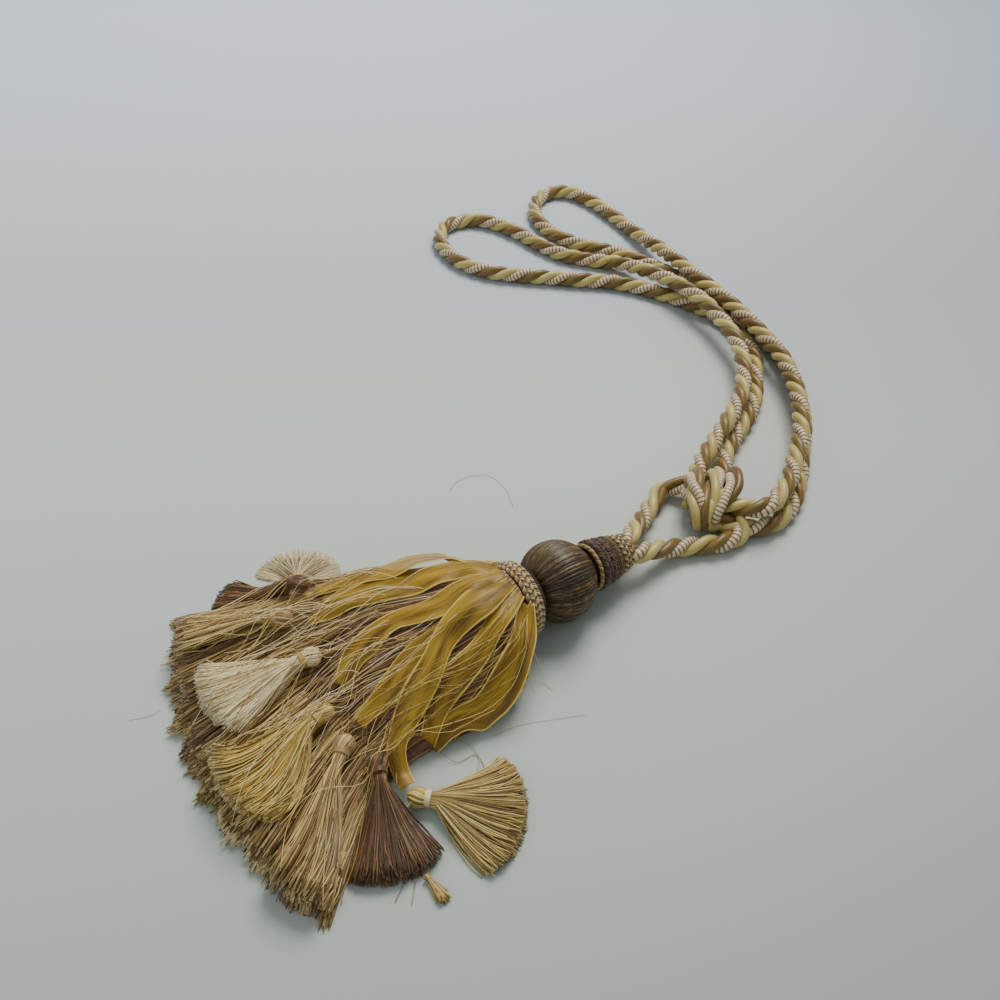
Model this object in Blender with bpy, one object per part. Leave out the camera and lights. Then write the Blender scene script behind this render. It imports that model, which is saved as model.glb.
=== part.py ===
"""Curtain tieback with a large tassel, lying on a table.

A laid rope makes two long loops that are gathered by a wrapped knot.  Its two short stems run from the
knot into the neck of a tassel: a yarn-wound ball between corded rings, a braid collar, and a skirt of
long threads, sheer ribbons, small yarn tassels and a brush of cut yarn along the hem.

Every size below is in millimetres; meshes are written in metres.  X is right, Y is away, Z is up.
"""

import math

import bmesh
import bpy
from mathutils import Matrix, Vector

MM = 0.001
GAP = 0.3                            # between pieces that touch

# ---------------------------------------------------------------- driving dimensions
ROPE_DIAMETER = 11.0
ROPE_SIDES_RESOLUTION = 2            # bevel_resolution: eight sides
ROPE_STEP = 20.0                     # distance between the points of a rope's tube

BALL_AT = Vector((74.0, 65.0, 21.1))  # centre of the ball
BALL_ACROSS = 21.5                   # half of its width
BALL_ALONG = 20.0                    # half of its length, before the ends are cut flat
BALL_END = 18.0                      # where the ends are cut flat
HEAD_HEADING = 35.0                  # degrees, from the ball towards the rope
HEAD_DROP = 6.0                      # degrees, the neck dips towards the table

SKIRT_BACK = 180.0 + HEAD_HEADING    # degrees, the way from the ball to the skirt

# Moves the origin to the middle of the tassel's own box, which the rope's route isn't part of.
FRAME_SHIFT = Vector((4.4, 3.2, 0.0))

BALL_SIDES = 28
RING_SIDES = 22
COLLAR_SIDES = 32

# Turned pieces of the head.  Columns: distance along the head from the ball's centre, radius.
TURNED = {
    "neck_gimp": ((36.3, 7.0), (36.3, 10.6), (38.0, 11.3), (39.8, 10.2), (41.2, 10.6), (43.0, 9.2),
                  (44.4, 9.4), (46.0, 8.2), (46.0, 5.0)),
    "neck_band": ((31.6, 9.0), (31.6, 11.2), (33.0, 12.4), (34.8, 12.2), (36.0, 10.8), (36.0, 8.0)),
    "neck_ring_narrow": ((26.8, 10.0), (26.8, 12.0), (28.2, 13.4), (30.0, 13.3), (31.3, 12.0),
                         (31.3, 9.0)),
    "neck_ring_wide": ((21.6, 10.0), (21.6, 12.6), (23.0, 14.3), (25.2, 14.3), (26.5, 12.8),
                       (26.5, 10.0)),
    "neck_base_cord": ((18.3, 8.0), (18.3, 11.4), (19.8, 12.6), (21.3, 11.6), (21.3, 8.0)),
    "ball_foot_ring": ((-21.2, 10.0), (-21.2, 16.0), (-19.8, 17.0), (-18.3, 15.4), (-18.3, 8.0)),
    "skirt_collar": ((-30.5, 12.0), (-30.5, 19.3), (-28.6, 20.7), (-26.2, 19.9), (-24.0, 20.7),
                     (-21.9, 19.6), (-21.5, 17.6), (-21.5, 10.0)),
}

# The long threads.  Columns: reach from the ball's centre; the angles of the far and the near edge;
# height of the crest; height of the edges; how far the underside hangs below the edges; 1 where the
# section is cut square to the head, 0 where it is an arc around the ball.
THREADS = (
    (31.0, 183.5, 246.5, 43.0, 24.3, 18.7, 1.0),
    (48.0, 173.0, 253.0, 41.0, 14.0, 15.0, 0.4),
    (66.0, 168.5, 249.5, 36.0, 6.0, 11.0, 0.0),
    (91.0, 168.0, 239.0, 28.0, 4.0, 8.0, 0.0),
    (112.0, 171.0, 233.0, 20.0, 3.5, 7.0, 0.0),
    (130.0, 174.0, 232.0, 13.5, 3.5, 7.0, 0.0),
)
UNDER_COLLAR = 6.0                   # how far under the collar the bed counts as going on
THREAD_FOLDS = 5
THREAD_FOLD_DEPTH = 1.1
THREAD_SQUARE_REACH = 48.0           # folds grow from here outwards
THREAD_REACHES = (31.0, 36.0, 42.0, 48.0, 56.0, 66.0, 78.0, 91.0, 102.0, 112.0, 121.0, 130.0)

# The brush of cut yarn under the small tassels.  Columns: reach, far angle, near angle, height.
BRUSH = (
    (130.6, 183.0, 225.5, 13.2),
    (150.0, 182.3, 231.5, 14.0),
    (175.0, 182.0, 237.2, 12.5),
    (192.0, 182.0, 239.8, 11.0),
    (197.0, 182.0, 240.3, 8.0),
)
BRUSH_EDGE = 2.0
BRUSH_REACHES = (130.6, 141.0, 152.0, 164.0, 176.0, 188.0, 197.0)
BRUSH_TEETH = 19
BRUSH_TOOTH = 2.2
BRUSH_TEETH_FROM = 164.0             # the teeth grow from here to the rim

# Small tassels.  Columns: name, tie x, tie y, angle of the left and the right edge of the yarn,
# length along each edge, thickness at the tips, floor under the tie or None where the tassel lies on
# the skirt all the way.
TASSELS = (
    ("brown_far", -61.0, 66.0, 164.0, 184.0, 38.0, 43.0, 7.0, 13.0),
    ("cream_far", -61.5, 82.5, 44.0, 146.0, 15.0, 16.0, 9.0, 0.0),
    ("beige", -66.0, 41.0, 173.0, 198.0, 48.0, 49.0, 7.0, None),
    ("cream_front", -48.3, 14.7, 180.0, 233.0, 52.0, 45.0, 7.0, None),
    ("gold_beige", -38.0, -17.0, 196.0, 254.0, 49.0, 51.0, 7.0, None),
    ("sand", -25.0, -33.5, 244.0, 266.0, 59.0, 67.0, 7.0, None),
    ("dark_brown", -8.0, -41.0, 259.5, 311.0, 47.0, 44.0, 7.0, 9.0),
    ("light_gold", 13.5, -48.5, 310.0, 393.0, 45.0, 42.0, 7.0, 0.0),
)
# The head of a small tassel.  Columns: distance from the tie, towards the tips; radius.
TASSEL_HEAD = ((-9.5, 1.4), (-8.2, 3.4), (-5.6, 4.6), (-3.2, 4.4), (-1.4, 3.4), (1.4, 3.4))
# Its yarn up to the tips.  Columns: share of its length, thickness.
TASSEL_BODY = ((0.14, 8.2), (0.3, 9.5), (0.5, 9.5), (0.72, 8.6), (0.9, 7.9))
TASSEL_EDGE = 0.35                   # thickness at its edges, as a share of the middle's
TASSEL_SIDES = 12
TASSEL_LIFT = 2.2                    # how far its yarn starts above the floor of the tie
TASSEL_SETTLES = 0.45                # share of its length after which the yarn lies on the bed
TASSEL_FOOT = (-9.0, -5.0, -1.0, 3.0)  # where along its head the height of the bed counts
TIE_RADIUS = 4.5
TIE_THICKNESS = 0.9                  # half of it
TIE_WIDTH = 1.1                      # half of it
CLEAR = 0.8                          # between a piece and the curved bed it lies on

# A loose gold tuft that shows below the dark tassel.
TUFT_AT = (14.5, -82.5)
TUFT_EDGES = (296.0, 322.0)
TUFT_LENGTH = 13.0
TUFT_WAIST = 2.4
TUFT_BODY = ((0.0, 3.4), (0.5, 4.0), (1.0, 3.6))  # share of its length, thickness

# Sheer ribbons.  Columns: x, y, lift above the bed, width.
RIBBON_THICKNESS = 1.0
RIBBONS = {
    "ribbon_far": ((38.8, 57.4, 1.2, 4.5), (28.0, 67.0, 5.0, 12.0), (13.0, 69.5, 8.0, 14.0),
                   (-6.0, 66.0, 4.5, 12.0), (-28.0, 66.0, 2.2, 10.0), (-46.0, 65.5, 2.2, 8.0)),
    "ribbon_upper": ((41.4, 53.7, 1.2, 4.5), (27.0, 51.5, 1.6, 11.0), (8.0, 49.5, 1.6, 13.0),
                     (-16.0, 46.0, 1.6, 12.0), (-38.0, 44.5, 1.6, 9.0), (-52.0, 42.0, 1.6, 7.0)),
    "ribbon_middle": ((44.0, 50.0, 1.2, 4.5), (30.0, 40.0, 1.6, 10.0), (13.0, 33.5, 1.6, 12.5),
                      (-8.0, 27.0, 1.6, 12.0), (-22.0, 16.0, 1.6, 11.0), (-29.0, 1.0, 1.6, 10.0)),
    "ribbon_long": ((47.8, 44.4, 1.6, 4.5), (36.5, 31.0, 4.6, 12.0), (22.0, 17.0, 4.8, 14.0),
                    (10.0, -0.5, 4.8, 14.0), (4.0, -16.0, 4.8, 12.0), (1.5, -30.0, 5.4, 10.0),
                    (0.5, -39.0, 9.0, 8.0)),
    "ribbon_inner": ((32.5, 25.5, 1.6, 8.0), (20.0, 17.0, 1.6, 11.0), (4.0, 8.0, 1.6, 12.0),
                     (-11.0, -3.0, 1.6, 11.0), (-17.0, -16.0, 1.6, 9.0)),
    "ribbon_lower": ((51.3, 39.4, 1.2, 4.5), (44.0, 27.0, 1.6, 8.0), (32.0, 11.0, 1.6, 11.0),
                     (20.0, -4.0, 1.8, 11.0), (9.5, -19.0, 1.8, 8.0)),
    "ribbon_near": ((54.8, 34.4, 1.2, 4.5), (54.5, 21.0, 1.6, 8.0), (49.0, 7.0, 1.8, 9.0),
                    (38.5, -4.0, 2.0, 8.0), (26.0, -12.0, 2.0, 7.0), (16.5, -18.5, 2.2, 5.0)),
}
RIBBON_STATIONS = 15

# The knot: rope wound around the gathered legs, wider than it is tall.
KNOT_AT = Vector((163.0, 133.0, 13.8))
KNOT_ALONG = 18.5                    # half of its length
KNOT_ACROSS = 22.0                   # half of its width
KNOT_TALL = 14.0                     # half of its height
# Three wraps with a groove on each side of the middle one.  Columns: place along it, size; both shares.
KNOT_PROFILE = ((-1.0, 0.40), (-0.86, 0.64), (-0.68, 0.86), (-0.5, 0.87), (-0.34, 0.82), (-0.18, 0.93),
                (0.0, 1.0), (0.18, 0.93), (0.34, 0.82), (0.5, 0.87), (0.68, 0.86), (0.86, 0.64),
                (1.0, 0.40))
KNOT_SIDES = 22
KNOT_SLANT = 0.25                    # how far the wraps lean, in X for each Y
KNOT_GATHER = 0.22                   # how much the wraps close up on the near side

# Routes of the rope's lengths.  Columns: x, y, z of the rope's centre.
LYING = ROPE_DIAMETER / 2
ROUTES = {
    "rope_stem_upper": ((111.0, 98.2, 16.0), (115.6, 104.6, 14.2), (120.0, 114.0, 10.4),
                        (126.0, 127.0, 6.6), (132.0, 138.5, 5.6), (138.5, 148.5, 5.8)),
    "rope_stem_lower": ((117.8, 88.9, 16.0), (124.4, 93.4, 13.8), (133.0, 98.5, 9.4),
                        (144.0, 103.0, 6.2), (155.0, 105.0, 5.6), (166.0, 106.6, 5.6)),
    "rope_loop_long": (
        (173.0, 158.0, 10.0), (178.0, 176.0, 7.0), (187.0, 195.0, LYING), (198.0, 214.0, LYING),
        (206.0, 234.0, LYING), (210.0, 256.0, LYING), (213.0, 277.0, LYING), (208.0, 299.0, LYING),
        (200.0, 319.0, LYING), (185.0, 335.0, LYING), (167.0, 348.0, LYING), (148.0, 359.0, LYING),
        (128.0, 367.0, LYING), (106.0, 370.0, LYING), (84.0, 373.0, LYING), (62.0, 376.0, LYING),
        (41.0, 380.0, LYING), (21.0, 390.0, LYING), (7.0, 406.0, LYING), (-1.0, 426.0, LYING),
        (3.0, 447.0, LYING), (22.0, 457.0, LYING), (43.0, 450.0, LYING), (60.0, 436.0, LYING),
        (75.0, 420.0, LYING), (91.0, 406.0, LYING), (111.0, 398.0, LYING), (132.0, 391.0, 7.0),
        (148.0, 376.0, 11.0), (161.0, 359.0, 15.0), (174.0, 342.0, 17.0), (186.0, 323.0, 17.0),
        (194.0, 303.0, 16.6), (200.0, 282.0, 16.0), (201.0, 260.0, 15.4), (198.0, 238.0, 15.0),
        (191.0, 217.0, 15.0), (181.0, 198.0, 14.6), (170.0, 179.0, 14.2), (160.0, 160.0, 14.0)),
    "rope_loop_short": (
        (190.0, 123.0, 16.4), (199.0, 131.0, 16.6), (208.0, 145.0, 16.6), (215.0, 163.0, 16.6),
        (223.0, 186.0, 16.6), (228.0, 212.0, 16.6), (229.0, 238.0, 16.6), (226.0, 264.0, 16.6),
        (217.0, 290.0, 16.8), (208.0, 312.0, 17.0), (197.0, 334.0, 17.0), (184.0, 357.0, 17.0),
        (173.0, 379.0, 16.4), (165.0, 398.0, 13.6), (157.0, 418.0, 9.6), (148.0, 438.0, 6.4),
        (138.0, 457.0, LYING), (127.0, 475.0, LYING), (115.0, 491.0, LYING), (100.0, 502.0, LYING),
        (85.0, 501.0, LYING), (74.0, 485.0, LYING), (73.0, 464.0, LYING), (81.0, 443.0, LYING),
        (95.0, 427.0, LYING), (113.0, 416.0, LYING), (133.0, 407.0, LYING), (151.0, 395.0, LYING),
        (167.0, 381.0, LYING), (182.0, 365.0, LYING), (197.0, 348.0, LYING), (209.0, 329.0, LYING),
        (218.0, 311.0, LYING), (226.0, 291.0, LYING), (232.0, 268.0, LYING), (234.0, 240.0, LYING),
        (232.0, 211.0, LYING), (226.0, 186.0, LYING), (214.0, 145.0, LYING), (201.0, 125.0, LYING),
        (186.0, 118.0, LYING)),
}

# Colour and roughness of every finish.
FINISHES = {
    "rope_gold": ((0.35, 0.19, 0.06, 1.0), 0.45),
    "ball_yarn": ((0.09, 0.055, 0.025, 1.0), 0.6),
    "boucle_brown": ((0.06, 0.03, 0.02, 1.0), 0.8),
    "braid_gold": ((0.38, 0.26, 0.12, 1.0), 0.6),
    "thread_mauve": ((0.24, 0.13, 0.07, 1.0), 0.6),
    "brush_sand": ((0.34, 0.21, 0.09, 1.0), 0.6),
    "ribbon_mustard": ((0.42, 0.22, 0.02, 1.0), 0.35),
    "yarn_brown": ((0.13, 0.05, 0.02, 1.0), 0.6),
    "yarn_cream": ((0.75, 0.62, 0.42, 1.0), 0.6),
    "yarn_beige": ((0.45, 0.31, 0.16, 1.0), 0.6),
    "yarn_gold": ((0.52, 0.35, 0.10, 1.0), 0.6),
}
HEAD_FINISH = {
    "neck_gimp": "braid_gold", "neck_band": "boucle_brown", "neck_ring_narrow": "boucle_brown",
    "neck_ring_wide": "boucle_brown", "neck_base_cord": "braid_gold", "ball_foot_ring": "boucle_brown",
    "skirt_collar": "braid_gold",
}
TASSEL_FINISH = {
    "brown_far": "yarn_brown", "cream_far": "yarn_cream", "beige": "yarn_beige",
    "cream_front": "yarn_cream", "gold_beige": "yarn_gold", "sand": "yarn_beige",
    "dark_brown": "yarn_brown", "light_gold": "yarn_gold",
}


# ---------------------------------------------------------------- small helpers
def clear_scene():
    """Remove whatever the scene holds."""
    for thing in list(bpy.data.objects):
        bpy.data.objects.remove(thing, do_unlink=True)


def heading(degrees):
    """Unit vector on the table at this angle from +X."""
    return Vector((math.cos(math.radians(degrees)), math.sin(math.radians(degrees)), 0.0))


def finish(name):
    """The Principled material of one finish, made once."""
    if name in bpy.data.materials:
        return bpy.data.materials[name]
    colour, roughness = FINISHES[name]
    material = bpy.data.materials.new(name)
    material.use_nodes = True
    shader = material.node_tree.nodes["Principled BSDF"]
    shader.inputs["Base Color"].default_value = colour
    shader.inputs["Roughness"].default_value = roughness
    return material


def read(rows, where):
    """Every column of a table at one place, which is measured in its first column."""
    last = len(rows) - 1
    where = min(max(where, rows[0][0]), rows[last][0])
    low = max(index for index in range(last) if rows[index][0] <= where)
    before, start, end, after = rows[max(low - 1, 0)], rows[low], rows[low + 1], rows[min(low + 2, last)]
    span = end[0] - start[0]
    part = (where - start[0]) / span
    values = []
    for column in range(1, len(rows[0])):
        slope_in = (end[column] - before[column]) / (end[0] - before[0]) * span
        slope_out = (after[column] - start[column]) / (after[0] - start[0]) * span
        rise = end[column] - start[column]
        values.append(start[column] + part * slope_in
                      + part ** 2 * (3 * rise - 2 * slope_in - slope_out)
                      + part ** 3 * (slope_in + slope_out - 2 * rise))
    return values


def smooth_path(points, step):
    """Points about one step apart along a smooth curve through the given ones."""
    anchors = [Vector(point) for point in points]
    travel = [0.0]
    for here, there in zip(anchors, anchors[1:]):
        travel.append(travel[-1] + (there - here).length)
    rows = [(along, *anchor) for along, anchor in zip(travel, anchors)]
    count = max(2, round(travel[-1] / step))
    return [Vector(read(rows, travel[-1] * index / count)) for index in range(count + 1)]


def add_object(name, data, finish_name, parent):
    """Link a finished mesh or curve under the tieback's empty."""
    data.materials.append(finish(finish_name))
    piece = bpy.data.objects.new(name, data)
    piece.parent = parent
    bpy.context.scene.collection.objects.link(piece)
    return piece


def cap_end(shape, ring):
    """Close an end with a strip of faces, which follows a section that is bent like an arc."""
    last = len(ring) - 1
    shape.faces.new((ring[0], ring[1], ring[last]))
    for index in range(1, len(ring) // 2 - 1):
        shape.faces.new((ring[index], ring[index + 1], ring[last - index], ring[last - index + 1]))
    middle = len(ring) // 2
    shape.faces.new((ring[middle - 1], ring[middle], ring[middle + 1]))


def loft(name, loops, finish_name, parent, matrix=None, floor_cut=False):
    """Bridge closed loops of points, in order, into one closed solid with capped ends."""
    shape = bmesh.new()
    rings = [[shape.verts.new(point) for point in loop] for loop in loops]
    count = len(rings[0])
    for ring, following in zip(rings, rings[1:]):
        for index in range(count):
            after = (index + 1) % count
            shape.faces.new((ring[index], ring[after], following[after], following[index]))
    cap_end(shape, rings[0][::-1])
    cap_end(shape, rings[-1])
    if matrix is not None:
        shape.transform(matrix)
    if floor_cut:
        whole = shape.verts[:] + shape.edges[:] + shape.faces[:]
        cut = bmesh.ops.bisect_plane(shape, geom=whole, plane_co=(0.0, 0.0, 0.0),
                                     plane_no=(0.0, 0.0, -1.0), clear_outer=True)
        rim = [edge for edge in cut["geom_cut"] if isinstance(edge, bmesh.types.BMEdge)]
        bmesh.ops.contextual_create(shape, geom=rim)
    bmesh.ops.recalc_face_normals(shape, faces=shape.faces[:])
    bmesh.ops.scale(shape, vec=(MM, MM, MM), verts=shape.verts[:])
    mesh = bpy.data.meshes.new(name)
    shape.to_mesh(mesh)
    shape.free()
    mesh.shade_smooth()
    mesh.set_sharp_from_angle(angle=math.radians(45))
    return add_object(name, mesh, finish_name, parent)


# ---------------------------------------------------------------- the head
def head_matrix():
    """Places a shape whose +X runs from the ball towards the rope."""
    turn = Matrix.Rotation(math.radians(HEAD_HEADING), 4, "Z")
    dip = Matrix.Rotation(math.radians(HEAD_DROP), 4, "Y")
    return Matrix.Translation(BALL_AT) @ turn @ dip


def turned_loops(profile, sides):
    """Circles around the head's axis, one for each row of a turned profile."""
    loops = []
    for along, radius in profile:
        loops.append([Vector((along, radius * math.cos(turn), radius * math.sin(turn)))
                      for turn in (math.tau * side / sides for side in range(sides))])
    return loops


def ball_profile(rows=14):
    """Rows of the ball between its two flat ends."""
    end_angle = math.acos(BALL_END / BALL_ALONG)
    profile = []
    for row in range(rows + 1):
        angle = math.pi - end_angle - (math.pi - 2 * end_angle) * row / rows
        profile.append((BALL_ALONG * math.cos(angle), BALL_ACROSS * math.sin(angle)))
    return profile


def build_head(parent):
    """The wound ball with its small flat spot, and the cords and braids around its two ends."""
    matrix = head_matrix()
    loft("head_ball", turned_loops(ball_profile(), BALL_SIDES), "ball_yarn", parent, matrix, floor_cut=True)
    for name, profile in TURNED.items():
        sides = COLLAR_SIDES if name == "skirt_collar" else RING_SIDES
        loft(name, turned_loops(profile, sides), HEAD_FINISH[name], parent, matrix)


# ---------------------------------------------------------------- threads and brush
def thread_point(reach, across, side):
    """A point of the threads: across runs 0 to 1 from the far edge, side is +1 on top, -1 below."""
    far, near, crest, edge, drop, square = read(THREADS, reach)
    angle = far + (near - far) * across
    bulge = math.sqrt(max(0.0, 1 - (2 * across - 1) ** 2))
    distance = reach / math.cos(math.radians(angle - SKIRT_BACK)) ** square
    if side > 0:
        grown = min(1.0, max(0.0, (reach - THREAD_SQUARE_REACH) / THREAD_SQUARE_REACH))
        folds = THREAD_FOLD_DEPTH * grown * bulge * math.cos(math.tau * THREAD_FOLDS * across)
        height = edge + (crest - edge) * bulge + folds
    else:
        height = max(0.0, edge - drop * bulge)
    lean = (edge - height) * math.tan(math.radians(HEAD_DROP)) * square
    place = BALL_AT + heading(angle) * distance + heading(SKIRT_BACK) * lean
    return Vector((place.x, place.y, height))


def section_steps(count):
    """Closed run of (across, side) pairs around a section, closer together at its edges."""
    steps = [((1 - math.cos(math.pi * step / count)) / 2, 1) for step in range(count + 1)]
    steps += [((1 + math.cos(math.pi * step / count)) / 2, -1) for step in range(1, count)]
    return steps


def build_threads(parent):
    """The fan of long threads from the collar down to the small tassels."""
    steps = section_steps(24)
    loops = [[thread_point(reach, across, side) for across, side in steps] for reach in THREAD_REACHES]
    loft("skirt_threads", loops, "thread_mauve", parent)


def brush_height(reach, across):
    """Top of the brush."""
    height = read(BRUSH, reach)[2]
    return BRUSH_EDGE + (height - BRUSH_EDGE) * math.sqrt(max(0.0, 1 - abs(2 * across - 1) ** 6))


def build_brush(parent):
    """The brush of cut yarn, a comb along its rim."""
    columns = BRUSH_TEETH * 3
    loops = []
    for reach in BRUSH_REACHES:
        far, near = read(BRUSH, reach)[:2]
        grown = (reach - BRUSH_TEETH_FROM) / (BRUSH_REACHES[-1] - BRUSH_TEETH_FROM)
        tooth = BRUSH_TOOTH * max(0.0, grown)
        top, below = [], []
        for column in range(columns + 1):
            across = column / columns
            out = reach + tooth * (1 if column % 3 == 1 else -1)
            place = BALL_AT + heading(far + (near - far) * across) * out
            top.append(Vector((place.x, place.y, brush_height(reach, across))))
            below.append(Vector((place.x, place.y, 0.0)))
        loops.append(top + below[::-1])
    loft("hem_brush", loops, "brush_sand", parent)


def bed_height(x, y):
    """Height of whatever the skirt already has at this place on the table, 0 for the bare table."""
    offset = Vector((x - BALL_AT.x, y - BALL_AT.y, 0.0))
    angle = math.degrees(math.atan2(offset.y, offset.x)) % 360
    reach = offset.length
    squared = reach * math.cos(math.radians(angle - SKIRT_BACK))
    square = read(THREADS, reach)[5]
    reach += (squared - reach) * square
    if THREADS[0][0] - UNDER_COLLAR <= reach <= THREADS[-1][0] + GAP:
        far, near = read(THREADS, reach)[:2]
        across = (angle - far) / (near - far)
        if 0 <= across <= 1:
            return thread_point(reach, across, 1).z
    elif THREADS[-1][0] < reach <= BRUSH[-1][0] + BRUSH_TOOTH:
        far, near = read(BRUSH, reach)[:2]
        across = (angle - far) / (near - far)
        if 0 <= across <= 1:
            return brush_height(reach, across)
    return 0.0


# ---------------------------------------------------------------- small tassels
def round_section(centre, forward, radius):
    """A circle square to a level direction."""
    lateral = Vector((-forward.y, forward.x, 0.0))
    return [centre + lateral * (radius * math.cos(turn)) + Vector((0, 0, radius * math.sin(turn)))
            for turn in (math.tau * side / TASSEL_SIDES for side in range(TASSEL_SIDES))]


def fan_section(tie, edges, lengths, share, waist, thickness, floor):
    """One section across spreading yarn, flat below and rounded above."""
    middle = heading(sum(edges) / 2)
    lateral = Vector((-middle.y, middle.x, 0.0))
    loop = []
    for turn in (math.tau * side / TASSEL_SIDES for side in range(TASSEL_SIDES)):
        across = (1 + math.cos(turn)) / 2
        angle = edges[0] + (edges[1] - edges[0]) * across
        length = lengths[0] + (lengths[1] - lengths[0]) * across
        place = tie + lateral * (waist * math.cos(turn)) + heading(angle) * (length * share)
        lift = thickness * max(0.0, TASSEL_EDGE + (1 - TASSEL_EDGE) * math.sin(turn))
        loop.append(Vector((place.x, place.y, floor(place.x, place.y) + lift)))
    return loop


def build_tassel(row, parent):
    """A small tassel: its yarn with a rounded head, and the thread tied around the waist."""
    name, tie_x, tie_y, left, right, length_left, length_right, tip, table_floor = row
    middle = heading((left + right) / 2)
    tie = Vector((tie_x, tie_y, 0.0))
    if table_floor is None:
        feet = [tie + middle * along for along in TASSEL_FOOT]
        under_tie = CLEAR + max(bed_height(foot.x, foot.y) for foot in feet)
    else:
        under_tie = table_floor
    tie_centre = tie + Vector((0, 0, under_tie + TIE_RADIUS + TIE_WIDTH + GAP))

    def floor(x, y, share):
        """Underside of the yarn at this place, this share of the way to its tips."""
        settled = min(1.0, share / TASSEL_SETTLES)
        start = under_tie + TASSEL_LIFT
        bed = bed_height(x, y) + CLEAR if table_floor is None else 0.0
        return max(bed, start + (bed - start) * settled)

    loops = [round_section(tie_centre + middle * along, middle, radius) for along, radius in TASSEL_HEAD]
    waist = TASSEL_HEAD[-1][1]
    for share, thickness in (*TASSEL_BODY, (1.0, tip)):
        loops.append(fan_section(tie, (left, right), (length_left, length_right), share, waist, thickness,
                                 lambda x, y, share=share: floor(x, y, share)))
    loft(f"tassel_{name}", loops, TASSEL_FINISH[name], parent)
    build_tie(f"tie_{name}", tie_centre, middle, parent)


def build_tie(name, centre, forward, parent):
    """The binding thread, a ring around the waist of a small tassel."""
    ring = bmesh.new()
    around, across = 12, 5
    lateral = Vector((-forward.y, forward.x, 0.0))
    rows = []
    for turn in (math.tau * step / around for step in range(around)):
        outward = lateral * math.cos(turn) + Vector((0, 0, math.sin(turn)))
        row = []
        for spin in (math.tau * step / across for step in range(across)):
            radius = TIE_RADIUS + TIE_THICKNESS * math.cos(spin)
            row.append(ring.verts.new(centre + outward * radius + forward * (TIE_WIDTH * math.sin(spin))))
        rows.append(row)
    for row, following in zip(rows, rows[1:] + rows[:1]):
        for index in range(across):
            after = (index + 1) % across
            ring.faces.new((row[index], row[after], following[after], following[index]))
    bmesh.ops.recalc_face_normals(ring, faces=ring.faces[:])
    bmesh.ops.scale(ring, vec=(MM, MM, MM), verts=ring.verts[:])
    mesh = bpy.data.meshes.new(name)
    ring.to_mesh(mesh)
    ring.free()
    mesh.shade_smooth()
    add_object(name, mesh, "yarn_beige", parent)


def build_tuft(parent):
    """The loose tuft, a small wedge on the table."""
    start = Vector((*TUFT_AT, 0.0))
    loops = [fan_section(start, TUFT_EDGES, (TUFT_LENGTH, TUFT_LENGTH), share, TUFT_WAIST, thickness,
                         lambda x, y: 0.0)
             for share, thickness in TUFT_BODY]
    loft("tassel_gold_tuft", loops, "yarn_gold", parent)


# ---------------------------------------------------------------- ribbons
def bed_normal(x, y, reach=4.0):
    """Upward normal of the bed, taken over a few millimetres."""
    slope_x = (bed_height(x + reach, y) - bed_height(x - reach, y)) / (2 * reach)
    slope_y = (bed_height(x, y + reach) - bed_height(x, y - reach)) / (2 * reach)
    return Vector((-slope_x, -slope_y, 1.0)).normalized()


def build_ribbon(name, rows, parent):
    """A narrow sheet laid along its route, tilted with the threads under it."""
    travel = [0.0]
    for here, there in zip(rows, rows[1:]):
        travel.append(travel[-1] + math.hypot(there[0] - here[0], there[1] - here[1]))
    table = [(along, *row) for along, row in zip(travel, rows)]
    spine = []
    for station in range(RIBBON_STATIONS):
        x, y, lift, width = read(table, travel[-1] * station / (RIBBON_STATIONS - 1))
        normal = bed_normal(x, y)
        spine.append((Vector((x, y, bed_height(x, y))) + normal * lift, normal, width))
    loops = []
    for station, (place, normal, width) in enumerate(spine):
        behind = spine[max(station - 1, 0)][0]
        ahead = spine[min(station + 1, RIBBON_STATIONS - 1)][0]
        side = (ahead - behind).cross(normal).normalized() * (width / 2)
        up = normal * RIBBON_THICKNESS
        loops.append([place - side, place + side, place + side + up, place - side + up])
    loft(name, loops, "ribbon_mustard", parent)


# ---------------------------------------------------------------- rope and knot
def build_knot(parent):
    """The wound knot: a barrel with a groove between its wraps, and a flat spot underneath."""
    loops = []
    for along, size in KNOT_PROFILE:
        loop = []
        for turn in (math.tau * side / KNOT_SIDES for side in range(KNOT_SIDES)):
            y = KNOT_ACROSS * size * math.cos(turn)
            z = KNOT_TALL * size * math.sin(turn)
            gather = 1 - KNOT_GATHER * max(0.0, -y / KNOT_ACROSS)
            x = KNOT_ALONG * along * gather - KNOT_SLANT * y
            loop.append(KNOT_AT + Vector((x, y, z)))
        loops.append(loop)
    loft("rope_knot", loops, "rope_gold", parent, floor_cut=True)


def build_rope(name, route, parent):
    """One length of the rope, a tube along a smooth curve through its route."""
    path = smooth_path(route, ROPE_STEP)
    for place in path:
        place.z = max(place.z, LYING)
    curve = bpy.data.curves.new(name, "CURVE")
    curve.dimensions = "3D"
    curve.bevel_depth = ROPE_DIAMETER / 2 * MM
    curve.bevel_resolution = ROPE_SIDES_RESOLUTION
    curve.use_fill_caps = True
    spline = curve.splines.new("POLY")
    spline.points.add(len(path) - 1)
    for point, place in zip(spline.points, path):
        point.co = (*(place * MM), 1.0)
    add_object(name, curve, "rope_gold", parent)


def main():
    clear_scene()
    tieback = bpy.data.objects.new("tieback", None)
    tieback.location = FRAME_SHIFT * MM
    bpy.context.scene.collection.objects.link(tieback)
    build_head(tieback)
    build_threads(tieback)
    build_brush(tieback)
    for row in TASSELS:
        build_tassel(row, tieback)
    build_tuft(tieback)
    for name, rows in RIBBONS.items():
        build_ribbon(name, rows, tieback)
    build_knot(tieback)
    for name, route in ROUTES.items():
        build_rope(name, route, tieback)


main()
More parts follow.
